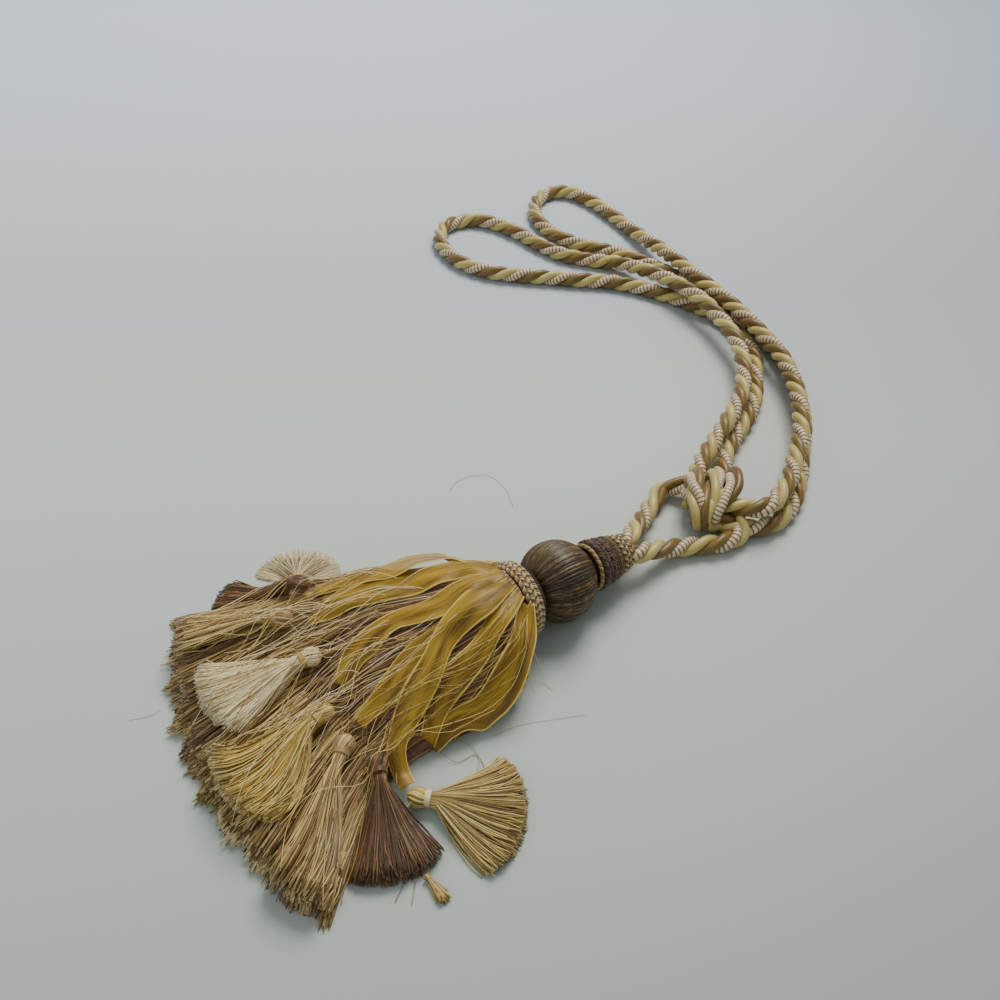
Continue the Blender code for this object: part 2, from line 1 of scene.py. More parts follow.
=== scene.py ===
# %% [markdown]
# # A curtain tieback with a large tassel
# The tieback lies on a pale table.  A laid rope makes two long loops, a wound knot gathers them, and
# two short stems of the same rope run into the neck of a big tassel.  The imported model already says
# how large each piece is and where it lies, so this lesson only gives every piece its real surface:
# strands, yarns, threads and sheer ribbons.

import math

import bpy
import numpy as np
from mathutils.bvhtree import BVHTree
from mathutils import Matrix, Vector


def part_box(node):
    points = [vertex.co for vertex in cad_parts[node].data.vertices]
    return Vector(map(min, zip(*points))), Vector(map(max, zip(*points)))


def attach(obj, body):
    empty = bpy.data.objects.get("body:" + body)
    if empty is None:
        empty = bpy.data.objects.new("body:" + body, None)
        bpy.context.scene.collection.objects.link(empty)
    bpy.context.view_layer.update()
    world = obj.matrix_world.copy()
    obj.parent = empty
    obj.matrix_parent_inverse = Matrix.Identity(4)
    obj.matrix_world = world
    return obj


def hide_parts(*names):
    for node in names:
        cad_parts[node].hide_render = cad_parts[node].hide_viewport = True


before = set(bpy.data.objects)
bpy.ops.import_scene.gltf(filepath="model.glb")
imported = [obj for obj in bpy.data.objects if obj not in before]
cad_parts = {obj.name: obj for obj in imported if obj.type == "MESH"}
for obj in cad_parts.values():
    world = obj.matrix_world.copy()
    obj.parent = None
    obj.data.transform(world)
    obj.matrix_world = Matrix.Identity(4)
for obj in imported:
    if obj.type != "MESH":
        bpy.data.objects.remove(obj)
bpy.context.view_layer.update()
bpy.ops.object.select_all(action="DESELECT")
random = np.random.default_rng(12)
MM = 0.001
SHIFT = np.array([4.4, 3.2, 0.0])
print("nodes:", len(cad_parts))

# %% [markdown]
# ## Table, camera and light
# The camera stands in front of the table and looks down on it at 44 degrees.  The light is that of a
# bright room: one very large soft lamp above and behind, a weak one from the front, and an even sky.
# Soft lamps give the faint, wide shadows that cloth has indoors.

# %% Camera
camera_data = bpy.data.cameras.new("camera")
camera_data.lens = 37.8
camera_data.sensor_width = 36.0
camera = bpy.data.objects.new("camera", camera_data)
camera.location = (0.0494, -0.2857, 0.42)
camera.rotation_euler = (math.radians(46.0), 0.0, 0.0)
bpy.context.scene.collection.objects.link(camera)
bpy.context.scene.camera = camera


# %% Lamps
def soft_lamp(name, place, target, size, power, colour):
    """A square lamp that faces its target."""
    data = bpy.data.lights.new(name, "AREA")
    data.size = size
    data.energy = power
    data.color = colour
    lamp = bpy.data.objects.new(name, data)
    lamp.location = place
    away = np.array(place) - np.array(target)
    lamp.rotation_euler = (math.atan2(math.hypot(away[0], away[1]), away[2]), 0.0,
                           math.atan2(away[1], away[0]) + math.pi / 2)
    bpy.context.scene.collection.objects.link(lamp)


soft_lamp("window_lamp", (0.35, 1.0, 1.3), (0.05, 0.15, 0.0), 0.8, 26.0, (1.0, 0.98, 0.95))
soft_lamp("room_lamp", (-0.9, -0.6, 1.2), (0.0, 0.0, 0.0), 1.4, 4.5, (0.93, 0.96, 1.0))
world = bpy.data.worlds.new("room")
world.use_nodes = True
world.node_tree.nodes["Background"].inputs["Color"].default_value = (0.86, 0.92, 1.0, 1.0)
world.node_tree.nodes["Background"].inputs["Strength"].default_value = 0.40
bpy.context.scene.world = world


# %% [markdown]
# ## Finishes
# Every strand carries two values that its finish reads.  "tone" is one number for each strand, so that
# neighbours differ a little in colour, as dyed yarn does.  "lie" is a place on the strand's own
# surface: around it in X and Y and along it in Z, so that a noise stretched along Z looks like fibres
# that follow the strand wherever it bends.

# %% Helpers for finishes
def new_finish(name, roughness):
    """An empty material; its node tree's nodes and links, and its shader."""
    material = bpy.data.materials.new(name)
    material.use_nodes = True
    tree = material.node_tree
    shader = tree.nodes["Principled BSDF"]
    shader.inputs["Roughness"].default_value = roughness
    return material, tree, shader


def colour_ramp(tree, stops):
    """A colour ramp through stops of (place, colour)."""
    ramp = tree.nodes.new("ShaderNodeValToRGB")
    elements = ramp.color_ramp.elements
    while len(elements) < len(stops):
        elements.new(0.5)
    for element, (place, colour) in zip(elements, stops):
        element.position = place
        element.color = (*colour, 1.0)
    return ramp


def calculate(tree, operation, first, second):
    """A math node; each input is a socket or a number."""
    node = tree.nodes.new("ShaderNodeMath")
    node.operation = operation
    for socket, value in zip(node.inputs, (first, second)):
        if isinstance(value, bpy.types.NodeSocket):
            tree.links.new(value, socket)
        else:
            socket.default_value = value
    return node.outputs[0]


def read_attribute(tree, name, output):
    """A value that the mesh carries."""
    node = tree.nodes.new("ShaderNodeAttribute")
    node.attribute_name = name
    return node.outputs[output]


def stretched_noise(tree, vector, around, along, detail=3.0):
    """Noise with its own scale around a strand and along it."""
    mapping = tree.nodes.new("ShaderNodeMapping")
    mapping.inputs["Scale"].default_value = (around, around, along)
    noise = tree.nodes.new("ShaderNodeTexNoise")
    noise.inputs["Scale"].default_value = 1.0
    noise.inputs["Detail"].default_value = detail
    tree.links.new(vector, mapping.inputs["Vector"])
    tree.links.new(mapping.outputs[0], noise.inputs["Vector"])
    return noise.outputs["Fac"]


def add_bump(tree, shader, height, strength, distance):
    """Bump from a height socket."""
    bump = tree.nodes.new("ShaderNodeBump")
    bump.inputs["Strength"].default_value = strength
    bump.inputs["Distance"].default_value = distance * MM
    tree.links.new(height, bump.inputs["Height"])
    tree.links.new(bump.outputs[0], shader.inputs["Normal"])


def yarn_finish(name, stops, roughness=0.5, streaks=0.35, fibres=2.2, sheen=0.25):
    """Dyed yarn: colour by the strand's tone, with fibres along it."""
    material, tree, shader = new_finish(name, roughness)
    shader.inputs["Sheen Weight"].default_value = sheen
    shader.inputs["Sheen Roughness"].default_value = 0.4
    lie = read_attribute(tree, "lie", "Vector")
    tone = read_attribute(tree, "tone", "Fac")
    noise = stretched_noise(tree, lie, fibres, fibres * 0.12)
    spread = calculate(tree, "MULTIPLY", calculate(tree, "SUBTRACT", noise, 0.5), streaks)
    ramp = colour_ramp(tree, stops)
    tree.links.new(calculate(tree, "ADD", tone, spread), ramp.inputs["Fac"])
    tree.links.new(ramp.outputs["Color"], shader.inputs["Base Color"])
    add_bump(tree, shader, noise, 0.35, 0.15)
    return material


# %% Colours of the rope's three strands
TICK_EVERY = 1.95
GOLD = yarn_finish("strand_gold", [(0.0, (0.060, 0.031, 0.003)), (0.45, (0.165, 0.092, 0.012)),
                                   (1.0, (0.31, 0.195, 0.036))], 0.38, 0.7, 1.6)
STRAW = yarn_finish("strand_straw", [(0.0, (0.28, 0.20, 0.04)), (0.5, (0.52, 0.41, 0.12)),
                                     (1.0, (0.72, 0.60, 0.23))], 0.38, 0.6, 1.6)


def ticked_finish():
    """Cream strand bound across with thin dark thread."""
    material, tree, shader = new_finish("strand_ticked", 0.45)
    lie = read_attribute(tree, "lie", "Vector")
    split = tree.nodes.new("ShaderNodeSeparateXYZ")
    tree.links.new(lie, split.inputs[0])
    wander = calculate(tree, "MULTIPLY", stretched_noise(tree, lie, 0.35, 0.35), 0.35)
    step = calculate(tree, "FRACT", calculate(
        tree, "ADD", calculate(tree, "DIVIDE", split.outputs["Z"], TICK_EVERY), wander), 0.0)
    ramp = colour_ramp(tree, [(0.0, (0.09, 0.045, 0.015)), (0.15, (0.15, 0.08, 0.03)),
                              (0.25, (0.56, 0.42, 0.24)), (0.6, (0.78, 0.64, 0.41)),
                              (0.88, (0.62, 0.47, 0.28)), (1.0, (0.15, 0.08, 0.03))])
    tree.links.new(step, ramp.inputs["Fac"])
    tree.links.new(ramp.outputs["Color"], shader.inputs["Base Color"])
    add_bump(tree, shader, ramp.outputs["Color"], 0.5, 0.3)
    return material


TICKED = ticked_finish()
print("rope finishes:", GOLD.name, STRAW.name, TICKED.name)


# %% [markdown]
# ## Lines and round strands
# Rope, yarn and thread are all the same thing at different sizes: a round section carried along a
# line.  One function makes a whole bundle of them at once as a single mesh, because thousands of
# separate curves would be slow.  A second one draws a smooth line through a few points.

# %% Helpers for lines
def set_surface(mesh, lie, tone):
    """Give a mesh the two values that its finish reads."""
    mesh.attributes.new("lie", "FLOAT_VECTOR", "POINT").data.foreach_set("vector", lie.ravel())
    mesh.attributes.new("tone", "FLOAT", "POINT").data.foreach_set("value", tone.ravel())


def unit(vectors):
    """The same directions, one long."""
    vectors = np.asarray(vectors, float)
    return vectors / np.maximum(np.linalg.norm(vectors, axis=-1, keepdims=True), 1e-9)


def smooth_line(points, step):
    """Points about one step apart on a smooth curve through the given ones."""
    anchors = np.array(points, float)
    lengths = np.linalg.norm(np.diff(anchors[:, :3], axis=0), axis=1)
    travel = np.concatenate(([0.0], np.cumsum(lengths)))
    numbers = np.arange(len(anchors))
    before, after = np.maximum(numbers - 1, 0), np.minimum(numbers + 1, len(anchors) - 1)
    slopes = (anchors[after] - anchors[before]) / (travel[after] - travel[before])[:, None]
    where = np.linspace(0.0, travel[-1], max(2, round(travel[-1] / step)) + 1)
    cell = np.clip(np.searchsorted(travel, where, side="right") - 1, 0, len(anchors) - 2)
    span = (travel[cell + 1] - travel[cell])[:, None]
    part = (where - travel[cell])[:, None] / span
    rise = anchors[cell + 1] - anchors[cell]
    start, end = slopes[cell] * span, slopes[cell + 1] * span
    return (anchors[cell] + part * start + part ** 2 * (3 * rise - 2 * start - end)
            + part ** 3 * (start + end - 2 * rise))


def travelled(lines):
    """How far along its line each point is."""
    steps = np.linalg.norm(np.diff(lines, axis=-2), axis=-1)
    return np.concatenate((np.zeros((*steps.shape[:-1], 1)), np.cumsum(steps, axis=-1)), axis=-1)


def strand_mesh(name, lines, radii, sides, tones, beside=None, along=None):
    """Many round strands as one mesh.

    lines is strands x points x 3 in millimetres, radii and tones have one value for a strand or for
    each of its points, beside is the direction that the first side of the section faces, and along is
    the Z of "lie", the distance travelled unless it is given.
    """
    lines = np.asarray(lines, float)
    strands, points = lines.shape[:2]
    tangents = unit(np.gradient(lines, axis=1))
    if beside is None:
        beside = np.cross((0.0, 0.0, 1.0), tangents)
    side = beside - tangents * np.sum(beside * tangents, axis=-1, keepdims=True)
    side = unit(side)
    up = np.cross(tangents, side)
    radii = np.broadcast_to(np.reshape(radii, (len(np.atleast_1d(radii)), -1)), (strands, points))
    turns = np.arange(sides) * math.tau / sides
    circle = (side[:, :, None] * np.cos(turns)[:, None] + up[:, :, None] * np.sin(turns)[:, None])
    places = lines[:, :, None] + circle * radii[:, :, None, None]
    first = (np.arange(strands * points) * sides).reshape(strands, points)[:, :-1, None]
    around = np.arange(sides)
    after = (around + 1) % sides
    quads = np.stack((first + around, first + after, first + sides + after, first + sides + around), -1)
    faces = quads.reshape(strands, -1, 4).tolist()
    base = np.arange(strands) * points * sides
    for strand in range(strands):
        start = int(base[strand])
        end = start + (points - 1) * sides
        faces[strand].append(list(range(start + sides - 1, start - 1, -1)))
        faces[strand].append(list(range(end, end + sides)))
    mesh = bpy.data.meshes.new(name)
    mesh.from_pydata((places.reshape(-1, 3) * MM).tolist(), [], sum(faces, []))
    mesh.shade_smooth()
    if along is None:
        along = travelled(lines) + random.uniform(0.0, 400.0, (strands, 1))
    lie = np.empty((strands, points, sides, 3))
    lie[..., 0] = radii[:, :, None] * np.cos(turns)
    lie[..., 1] = radii[:, :, None] * np.sin(turns)
    lie[..., 2] = np.broadcast_to(along, (strands, points))[:, :, None]
    tones = np.broadcast_to(np.reshape(tones, (len(np.atleast_1d(tones)), -1)), (strands, points))
    set_surface(mesh, lie, np.repeat(tones.ravel(), sides))
    return mesh


def add_piece(name, mesh, finishes, slot, *nodes):
    """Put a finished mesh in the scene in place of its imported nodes."""
    for finish in finishes:
        mesh.materials.append(finish)
    piece = bpy.data.objects.new(name, mesh)
    bpy.context.scene.collection.objects.link(piece)
    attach(piece, "root")
    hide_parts(*nodes)
    print(name, len(mesh.polygons), "faces")
    return piece


def add_strands(name, lines, radii, sides, tones, finish, slot, *nodes, beside=None):
    """Strands of one finish, made and put in the scene."""
    mesh = strand_mesh(name, lines, radii, sides, tones, beside)
    return add_piece(name, mesh, (finish,), slot, *nodes)


# %% [markdown]
# ## The rope
# Three strands are laid round each other: gold satin, a cream one bound across with dark thread, and a
# straw-coloured one.  A helix around the route's line is the true shape of a laid rope, so every
# strand is a round section on its own helix.  The lay is 31 mm, and it is drawn out where the rope is
# wound hard around the knot.

# %% Rope dimensions and routes
ROPE_DIAMETER = 11.0
LYING = ROPE_DIAMETER / 2
STRAND_RADIUS = 2.65
HELIX_RADIUS = LYING - STRAND_RADIUS
LAY = 31.0
KNOT_LAY = 62.0
ROPE_STEP = TICK_EVERY / 2

# Columns: x, y, z of the rope's centre.
STEM_UPPER = (
    (106.5, 92.5, 17.2), (111, 98.2, 16), (115.6, 104.6, 14.2), (120, 114, 10.4), (126, 127, 6.6),
    (132, 138.5, 5.6), (138.5, 148.5, 5.8))
STEM_LOWER = (
    (110, 87, 17.4), (117.8, 88.9, 16), (124.4, 93.4, 13.8), (133, 98.5, 9.4), (144, 103, 6.2),
    (155, 105, 5.6), (166, 106.6, 5.6), (176, 112, 6.5), (178, 121, 9))
# The loops' points were spaced evenly by a program and then moved where the legs cross; they are not
# chosen bend by bend.
LOOP_LONG = (
    (168, 148, 11), (173, 158, 10), (178, 176, 7), (187, 195, LYING), (198, 214, LYING),
    (206, 234, LYING), (210, 256, LYING), (213, 277, LYING), (208, 299, LYING), (200, 319, LYING),
    (185, 335, LYING), (167, 348, LYING), (148, 359, LYING), (128, 367, LYING), (106, 370, LYING),
    (84, 373, LYING), (62, 376, LYING), (41, 380, LYING), (21, 390, LYING), (7, 406, LYING),
    (-1, 426, LYING), (3, 447, LYING), (22, 457, LYING), (43, 450, LYING), (60, 436, LYING),
    (75, 420, LYING), (91, 406, LYING), (111, 398, LYING), (132, 391, 7), (148, 376, 11),
    (161, 359, 15), (174, 342, 17), (186, 323, 17), (194, 303, 16.6), (200, 282, 16), (201, 260, 15.4),
    (198, 238, 15), (191, 217, 15), (181, 198, 14.6), (170, 179, 14.2), (160, 160, 14), (156, 150, 14),
    (152, 140, 14), (151, 129, 13))
LOOP_SHORT = (
    (160, 134, 14), (170, 128, 14), (178, 124, 15), (190, 123, 16.4), (199, 131, 16.6),
    (208, 145, 16.6), (215, 163, 16.6), (223, 186, 16.6), (228, 212, 16.6), (229, 238, 16.6),
    (226, 264, 16.6), (217, 290, 16.8), (208, 312, 17), (197, 334, 17), (184, 357, 17),
    (173, 379, 16.4), (165, 398, 13.6), (157, 418, 9.6), (148, 438, 6.4), (138, 457, LYING),
    (127, 475, LYING), (115, 491, LYING), (100, 502, LYING), (85, 501, LYING), (74, 485, LYING),
    (73, 464, LYING), (81, 443, LYING), (95, 427, LYING), (113, 416, LYING), (133, 407, LYING),
    (151, 395, LYING), (167, 381, LYING), (182, 365, LYING), (197, 348, LYING), (209, 329, LYING),
    (218, 311, LYING), (226, 291, LYING), (232, 268, LYING), (234, 240, LYING), (232, 211, LYING),
    (226, 186, LYING), (214, 145, LYING), (201, 125, LYING), (186, 118, LYING), (172, 119, 7),
    (160, 126, 10))


# %% The winding of the knot
KNOT_FROM, KNOT_TO, KNOT_TURN = -20, 1010, 15    # degrees around the legs, and the step between points
KNOT_START, KNOT_WIDTH = -13.5, 31.0             # the winding's place along the legs
KNOT_GATHER = 0.72                               # how much the turns close up on the near side
KNOT_LEAN = 0.4                                  # how far they lean, in X for each Y
WINDING_EASE = 25.0                              # length over which the lay draws out


def knot_winding():
    """The line of the rope where it winds three times around the gathered legs."""
    low, high = (np.array(corner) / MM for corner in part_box("rope_knot"))
    middle = (low + high) / 2 - SHIFT
    across = (high[1] - low[1]) / 2 - LYING
    tall = (high[2] - low[2]) / 2 - LYING
    rows = []
    for degrees in range(KNOT_FROM, KNOT_TO, KNOT_TURN):
        turn = math.radians(degrees)
        along = KNOT_START + KNOT_WIDTH * (degrees - KNOT_FROM) / (KNOT_TO - KNOT_FROM)
        gather = 1.0 - KNOT_GATHER * max(0.0, -math.cos(turn))
        y = across * math.cos(turn)
        rows.append((middle[0] + along * gather + KNOT_LEAN * y, middle[1] + y,
                     middle[2] + tall * math.sin(turn)))
    return rows


# %% Laying the strands
def lay_rope(name, points, phase, nodes, wound_after=None):
    """One length of rope with its three strands; its length is printed."""
    line = smooth_line(points, ROPE_STEP) + SHIFT
    line[:, 2] = np.maximum(line[:, 2], LYING)
    tangents = unit(np.gradient(line, axis=0))
    side = unit(np.cross((0.0, 0.0, 1.0), tangents[0]))
    sides = []
    for tangent in tangents:
        side = unit(side - tangent * side.dot(tangent))
        sides.append(side)
    sides = np.array(sides)
    ups = np.cross(tangents, sides)
    distance = travelled(line)
    lays = np.full(len(line), LAY)
    if wound_after is not None:
        blend = np.clip((distance - wound_after) / WINDING_EASE, 0.0, 1.0)
        lays = LAY + (KNOT_LAY - LAY) * blend
    turns = math.tau * np.concatenate(([0.0], np.cumsum(np.diff(distance) / lays[1:])))
    lines, outward = [], []
    for strand in range(3):
        angle = math.radians(phase) + math.tau * strand / 3 - turns
        radial = sides * np.cos(angle)[:, None] + ups * np.sin(angle)[:, None]
        lines.append(line + radial * HELIX_RADIUS)
        outward.append(radial)
    radii = np.full((3, len(line)), STRAND_RADIUS)
    radii[1] -= 0.22 * (np.arange(len(line)) % 2)
    tones = 0.5 + 0.1 * np.sin(np.arange(3)[:, None] + distance / 60.0)
    mesh = strand_mesh(name, lines, radii, 8, tones, np.array(outward), distance)
    faces = len(mesh.polygons) // 3
    mesh.polygons.foreach_set("material_index", np.repeat([0, 1, 2], faces))
    piece = add_piece(name, mesh, (GOLD, TICKED, STRAW), "rope", *nodes)
    print(name, "is", round(float(distance[-1])), "mm long")
    return piece


lay_rope("laid_stem_upper_and_knot", STEM_UPPER + tuple(knot_winding()), 90.0,
         ("rope_stem_upper", "rope_knot"), 45.0)
lay_rope("laid_stem_lower", STEM_LOWER, 90.0, ("rope_stem_lower",))
lay_rope("laid_loop_long", LOOP_LONG, 270.0, ("rope_loop_long",))
lay_rope("laid_loop_short", LOOP_SHORT, 90.0, ("rope_loop_short",))


# %% [markdown]
# ## The head: a wound ball between corded rings
# The ball is a wooden core with yarn wound over it from pole to pole.  It is modelled as a ball whose
# meridians are pulled in at uneven spacings, which leaves the small ridges of yarn between them.  Each
# ring beside it is a twisted cord laid around the neck, so it is built from plies on a helix.

# %% Places along the head
BALL_CENTRE = np.array([74.0, 65.0, 21.1]) + SHIFT
HEAD_TURN = math.radians(35.0)
HEAD_DROP = math.radians(6.0)
HEAD_ALONG = np.array([math.cos(HEAD_DROP) * math.cos(HEAD_TURN),
                       math.cos(HEAD_DROP) * math.sin(HEAD_TURN), -math.sin(HEAD_DROP)])
HEAD_ACROSS = np.array([-math.sin(HEAD_TURN), math.cos(HEAD_TURN), 0.0])
HEAD_UP = np.cross(HEAD_ALONG, HEAD_ACROSS)


def place_on_head(along, radius, turn):
    """Points at a distance along the head, a radius from its middle and a turn around it."""
    along, radius, turn = np.broadcast_arrays(along, radius, turn)
    return (BALL_CENTRE + along[..., None] * HEAD_ALONG
            + (radius * np.cos(turn))[..., None] * HEAD_ACROSS
            + (radius * np.sin(turn))[..., None] * HEAD_UP)


# %% The ball
BALL_COLUMNS = 300
BALL_ROWS = 36
bpy.ops.mesh.primitive_uv_sphere_add(segments=BALL_COLUMNS, ring_count=BALL_ROWS, radius=1.0)
ball = bpy.context.object
ball.name = "wound_ball"
ball.rotation_euler = (0.0, math.pi / 2, 0.0)
bpy.ops.object.transform_apply(rotation=True, location=False, scale=False)
ball.scale = (19.6 * MM, 21.4 * MM, 21.4 * MM)
bpy.ops.object.transform_apply(scale=True, location=False, rotation=False)

corners = np.empty(len(ball.data.vertices) * 3)
ball.data.vertices.foreach_get("co", corners)
corners = corners.reshape(-1, 3) / MM
around = np.arctan2(corners[:, 2], corners[:, 1]) % math.tau
column = np.round(around / math.tau * BALL_COLUMNS).astype(int) % BALL_COLUMNS
grooves = []
place = 0
while place < BALL_COLUMNS - 2:
    grooves.append(place)
    place += int(random.integers(3, 7))
yarn_of_column = np.searchsorted(grooves, np.arange(BALL_COLUMNS), side="right")
depths = random.uniform(0.35, 0.95, len(grooves))
bpy.ops.object.mode_set(mode="EDIT")
bpy.ops.mesh.select_all(action="DESELECT")
bpy.ops.object.mode_set(mode="OBJECT")
for depth in (0.45, 0.65, 0.85):
    chosen = [groove for groove, wanted in zip(grooves, depths) if abs(wanted - depth) < 0.13]
    ball.data.vertices.foreach_set("select", np.isin(column, chosen) & (abs(corners[:, 0]) < 19.0))
    bpy.ops.object.mode_set(mode="EDIT")
    bpy.ops.transform.shrink_fatten(value=-depth * MM)
    bpy.ops.mesh.select_all(action="DESELECT")
    bpy.ops.object.mode_set(mode="OBJECT")
yarn_tones = random.uniform(0.28, 0.66, len(grooves) + 1)
yarn = yarn_of_column[column]
lie = np.stack((column * 0.22, yarn * 3.0, corners[:, 0] + yarn * 37.0), -1)
set_surface(ball.data, lie, yarn_tones[yarn])
bpy.ops.object.shade_smooth()
ball.rotation_euler = (0.0, HEAD_DROP, HEAD_TURN)
ball.location = BALL_CENTRE * MM
bpy.ops.object.transform_apply(location=True, rotation=True, scale=False)
# Painted highlight: the golden top of this ramp is reached where the strong fibre streaks run high, so
# glints are painted at random over the dark brown yarn.
BALL_YARN_AND_GLINTS = yarn_finish("ball_yarn", [(0.0, (0.010, 0.004, 0.001)), (0.38, (0.048, 0.025, 0.006)),
                                      (0.66, (0.125, 0.074, 0.016)), (1.0, (0.34, 0.22, 0.055))],
                        0.45, 1.9, 3.2, 0.0)
ball.data.materials.append(BALL_YARN_AND_GLINTS)
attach(ball, "root")
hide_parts("head_ball")
print("ball:", len(ball.data.polygons), "faces,", len(grooves), "grooves")


# %% Cords around the head
def cords_around(rows, points):
    """Twisted cords around the head, as strands for strand_mesh.

    Each row is: distance along the head, radius, thickness, plies, whole twists (negative for the
    other hand), unevenness, and one tone for each ply.
    """
    lines, outward, radii, tones = [], [], [], []
    turn = np.linspace(-math.pi / 2, 1.5 * math.pi, points)
    for along, radius, thickness, plies, twists, uneven, ply_tones in rows:
        ply_radius = thickness / (2.0 if plies == 1 else 3.9 if plies == 2 else 4.1)
        helix = thickness / 2 - ply_radius
        for ply in range(plies):
            wave = turn * twists + math.tau * ply / plies
            jitter = uneven * random.uniform(-1.0, 1.0, (3, points))
            ring_radius = radius + helix * np.cos(wave) + jitter[0]
            ring_along = along + helix * np.sin(wave) + jitter[1]
            lines.append(place_on_head(ring_along, ring_radius, turn))
            middle = place_on_head(np.full(points, along), np.full(points, radius), turn)
            outward.append(unit(lines[-1] - middle + 0.001 * HEAD_UP))
            radii.append(ply_radius * (1.0 + 0.6 * jitter[2]))
            tones.append(np.full(points, ply_tones[ply % len(ply_tones)]))
    return np.array(lines), np.array(outward), np.array(radii), np.array(tones)


BOUCLE = yarn_finish("boucle_brown", [(0.0, (0.020, 0.008, 0.004)), (0.5, (0.065, 0.028, 0.013)),
                                      (1.0, (0.20, 0.105, 0.045))], 0.7, 0.9, 1.5, 0.4)
BRAID = yarn_finish("braid_gold", [(0.0, (0.035, 0.014, 0.005)), (0.3, (0.15, 0.075, 0.020)),
                                   (0.6, (0.36, 0.225, 0.07)), (1.0, (0.70, 0.55, 0.28))], 0.42, 0.3)
# Name, finish, slot, node, sides, points, then one row for each cord, as cords_around reads them.
HEAD_CORDS = (
    ("neck_cord_by_the_ball", BRAID, "braid_gold", "neck_base_cord", 7, 170, (
        (19.9, 11.8, 2.5, 3, 22, 0.0, (0.5, 0.75, 0.4)),)),
    ("boucle_ring_wide", BOUCLE, "boucle_brown", "neck_ring_wide", 7, 170, (
        (23.0, 12.4, 3.3, 3, 17, 0.28, (0.3, 0.5, 0.7)),
        (25.4, 12.1, 3.0, 3, -15, 0.28, (0.3, 0.6, 0.4)))),
    ("boucle_ring_narrow", BOUCLE, "boucle_brown", "neck_ring_narrow", 7, 170, (
        (28.2, 11.8, 2.9, 3, 16, 0.26, (0.3, 0.5, 0.7)),
        (30.2, 11.2, 2.5, 3, -14, 0.24, (0.5, 0.3, 0.6)))),
    ("neck_winding", BRAID, "boucle_brown", "neck_band", 5, 260, (
        (32.2, 11.2, 1.3, 2, 30, 0.04, (0.35, 0.2)),
        (33.2, 11.7, 1.4, 2, 30, 0.04, (0.45, 0.3)),
        (34.3, 11.4, 1.4, 2, 30, 0.04, (0.35, 0.2)),
        (35.3, 10.6, 1.3, 2, 30, 0.04, (0.3, 0.15)))),
    ("neck_gimp_cords", BRAID, "braid_gold", "neck_gimp", 7, 170, (
        (37.6, 9.9, 2.7, 3, 19, 0.06, (0.85, 0.45, 0.15)),
        (40.2, 9.3, 2.6, 3, -18, 0.06, (0.8, 0.4, 0.2)),
        (42.7, 8.6, 2.5, 3, 16, 0.06, (0.85, 0.5, 0.15)),
        (44.9, 7.4, 2.3, 3, -14, 0.06, (0.7, 0.4, 0.2)))),
    ("dark_winding_under_the_ball", BOUCLE, "boucle_brown", "ball_foot_ring", 6, 240, (
        (-18.9, 14.6, 1.5, 2, 30, 0.06, (0.2, 0.4)),
        (-20.1, 15.2, 1.5, 2, 32, 0.06, (0.3, 0.5)),
        (-20.9, 15.9, 1.2, 2, 34, 0.05, (0.3, 0.5)))),
    ("collar_braid", BRAID, "braid_gold", "skirt_collar", 7, 330, (
        (-23.2, 18.5, 2.5, 3, 33, 0.05, (0.9, 0.55, 0.2)),
        (-25.3, 19.0, 2.5, 3, -34, 0.05, (0.8, 0.95, 0.3)),
        (-27.4, 19.1, 2.5, 3, 35, 0.05, (0.9, 0.5, 0.2)),
        (-29.4, 18.7, 2.4, 3, -34, 0.05, (0.85, 0.6, 0.3)))),
)
for name, finish, slot, node, sides, points, rows in HEAD_CORDS:
    lines, outward, radii, tones = cords_around(rows, points)
    add_strands(name, lines, radii, sides, tones, finish, slot, node, beside=outward)

# %% The core under the cords
# Distance along the head and radius, at the skirt's end and at the rope's end.
CORE_SKIRT, CORE_ROPE = (-30.0, 12.5), (45.0, 6.2)
bpy.ops.object.select_all(action="DESELECT")
bpy.ops.mesh.primitive_cylinder_add(vertices=48, radius=1.0, depth=2.0)
core = bpy.context.object
core.name = "neck_core"
bpy.ops.object.mode_set(mode="EDIT")
bpy.ops.mesh.select_all(action="SELECT")
bpy.ops.transform.rotate(value=math.pi / 2, orient_axis="Y", center_override=(0.0, 0.0, 0.0))
bpy.ops.object.mode_set(mode="OBJECT")
for corner in core.data.vertices:
    along, radius = CORE_ROPE if corner.co.x > 0 else CORE_SKIRT
    corner.co = (along, corner.co.y * radius, corner.co.z * radius)
core.scale = (MM, MM, MM)
core.rotation_euler = (0.0, HEAD_DROP, HEAD_TURN)
core.location = BALL_CENTRE * MM
bpy.ops.object.transform_apply(location=True, rotation=True, scale=True)
bpy.ops.object.modifier_add(type="BEVEL")
core.modifiers["Bevel"].width = 0.6 * MM
bpy.ops.object.modifier_apply(modifier="Bevel")
# Dark brown: the neck core's own thread, and on the bed under the threads, painted shade in the gaps
# between them.
dark_for_core_and_shade, _, dark_shader = new_finish("core_thread_and_painted_shade", 0.8)
dark_shader.inputs["Base Color"].default_value = (0.055, 0.030, 0.016, 1.0)
core.data.materials.append(dark_for_core_and_shade)
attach(core, "root")
print("core:", len(core.data.polygons), "faces")


# %% [markdown]
# ## The skirt: fine threads over a bed
# Under the collar hang hundreds of fine threads, which spread over the table like a fan.  The packed
# model gives the height of that fan, so each thread is drawn from the collar outwards and dropped on
# it, a little above or below its neighbours.  A dark bed of painted shade closes the gaps between them.

# %% Heights of the imported model
def surface_tree(*nodes):
    """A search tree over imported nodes, in millimetres."""
    points, faces = [], []
    for node in nodes:
        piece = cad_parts[node]
        first = len(points)
        points += [tuple(piece.matrix_world @ corner.co / MM) for corner in piece.data.vertices]
        faces += [tuple(first + index for index in face.vertices) for face in piece.data.polygons]
    return BVHTree.FromPolygons(points, faces)


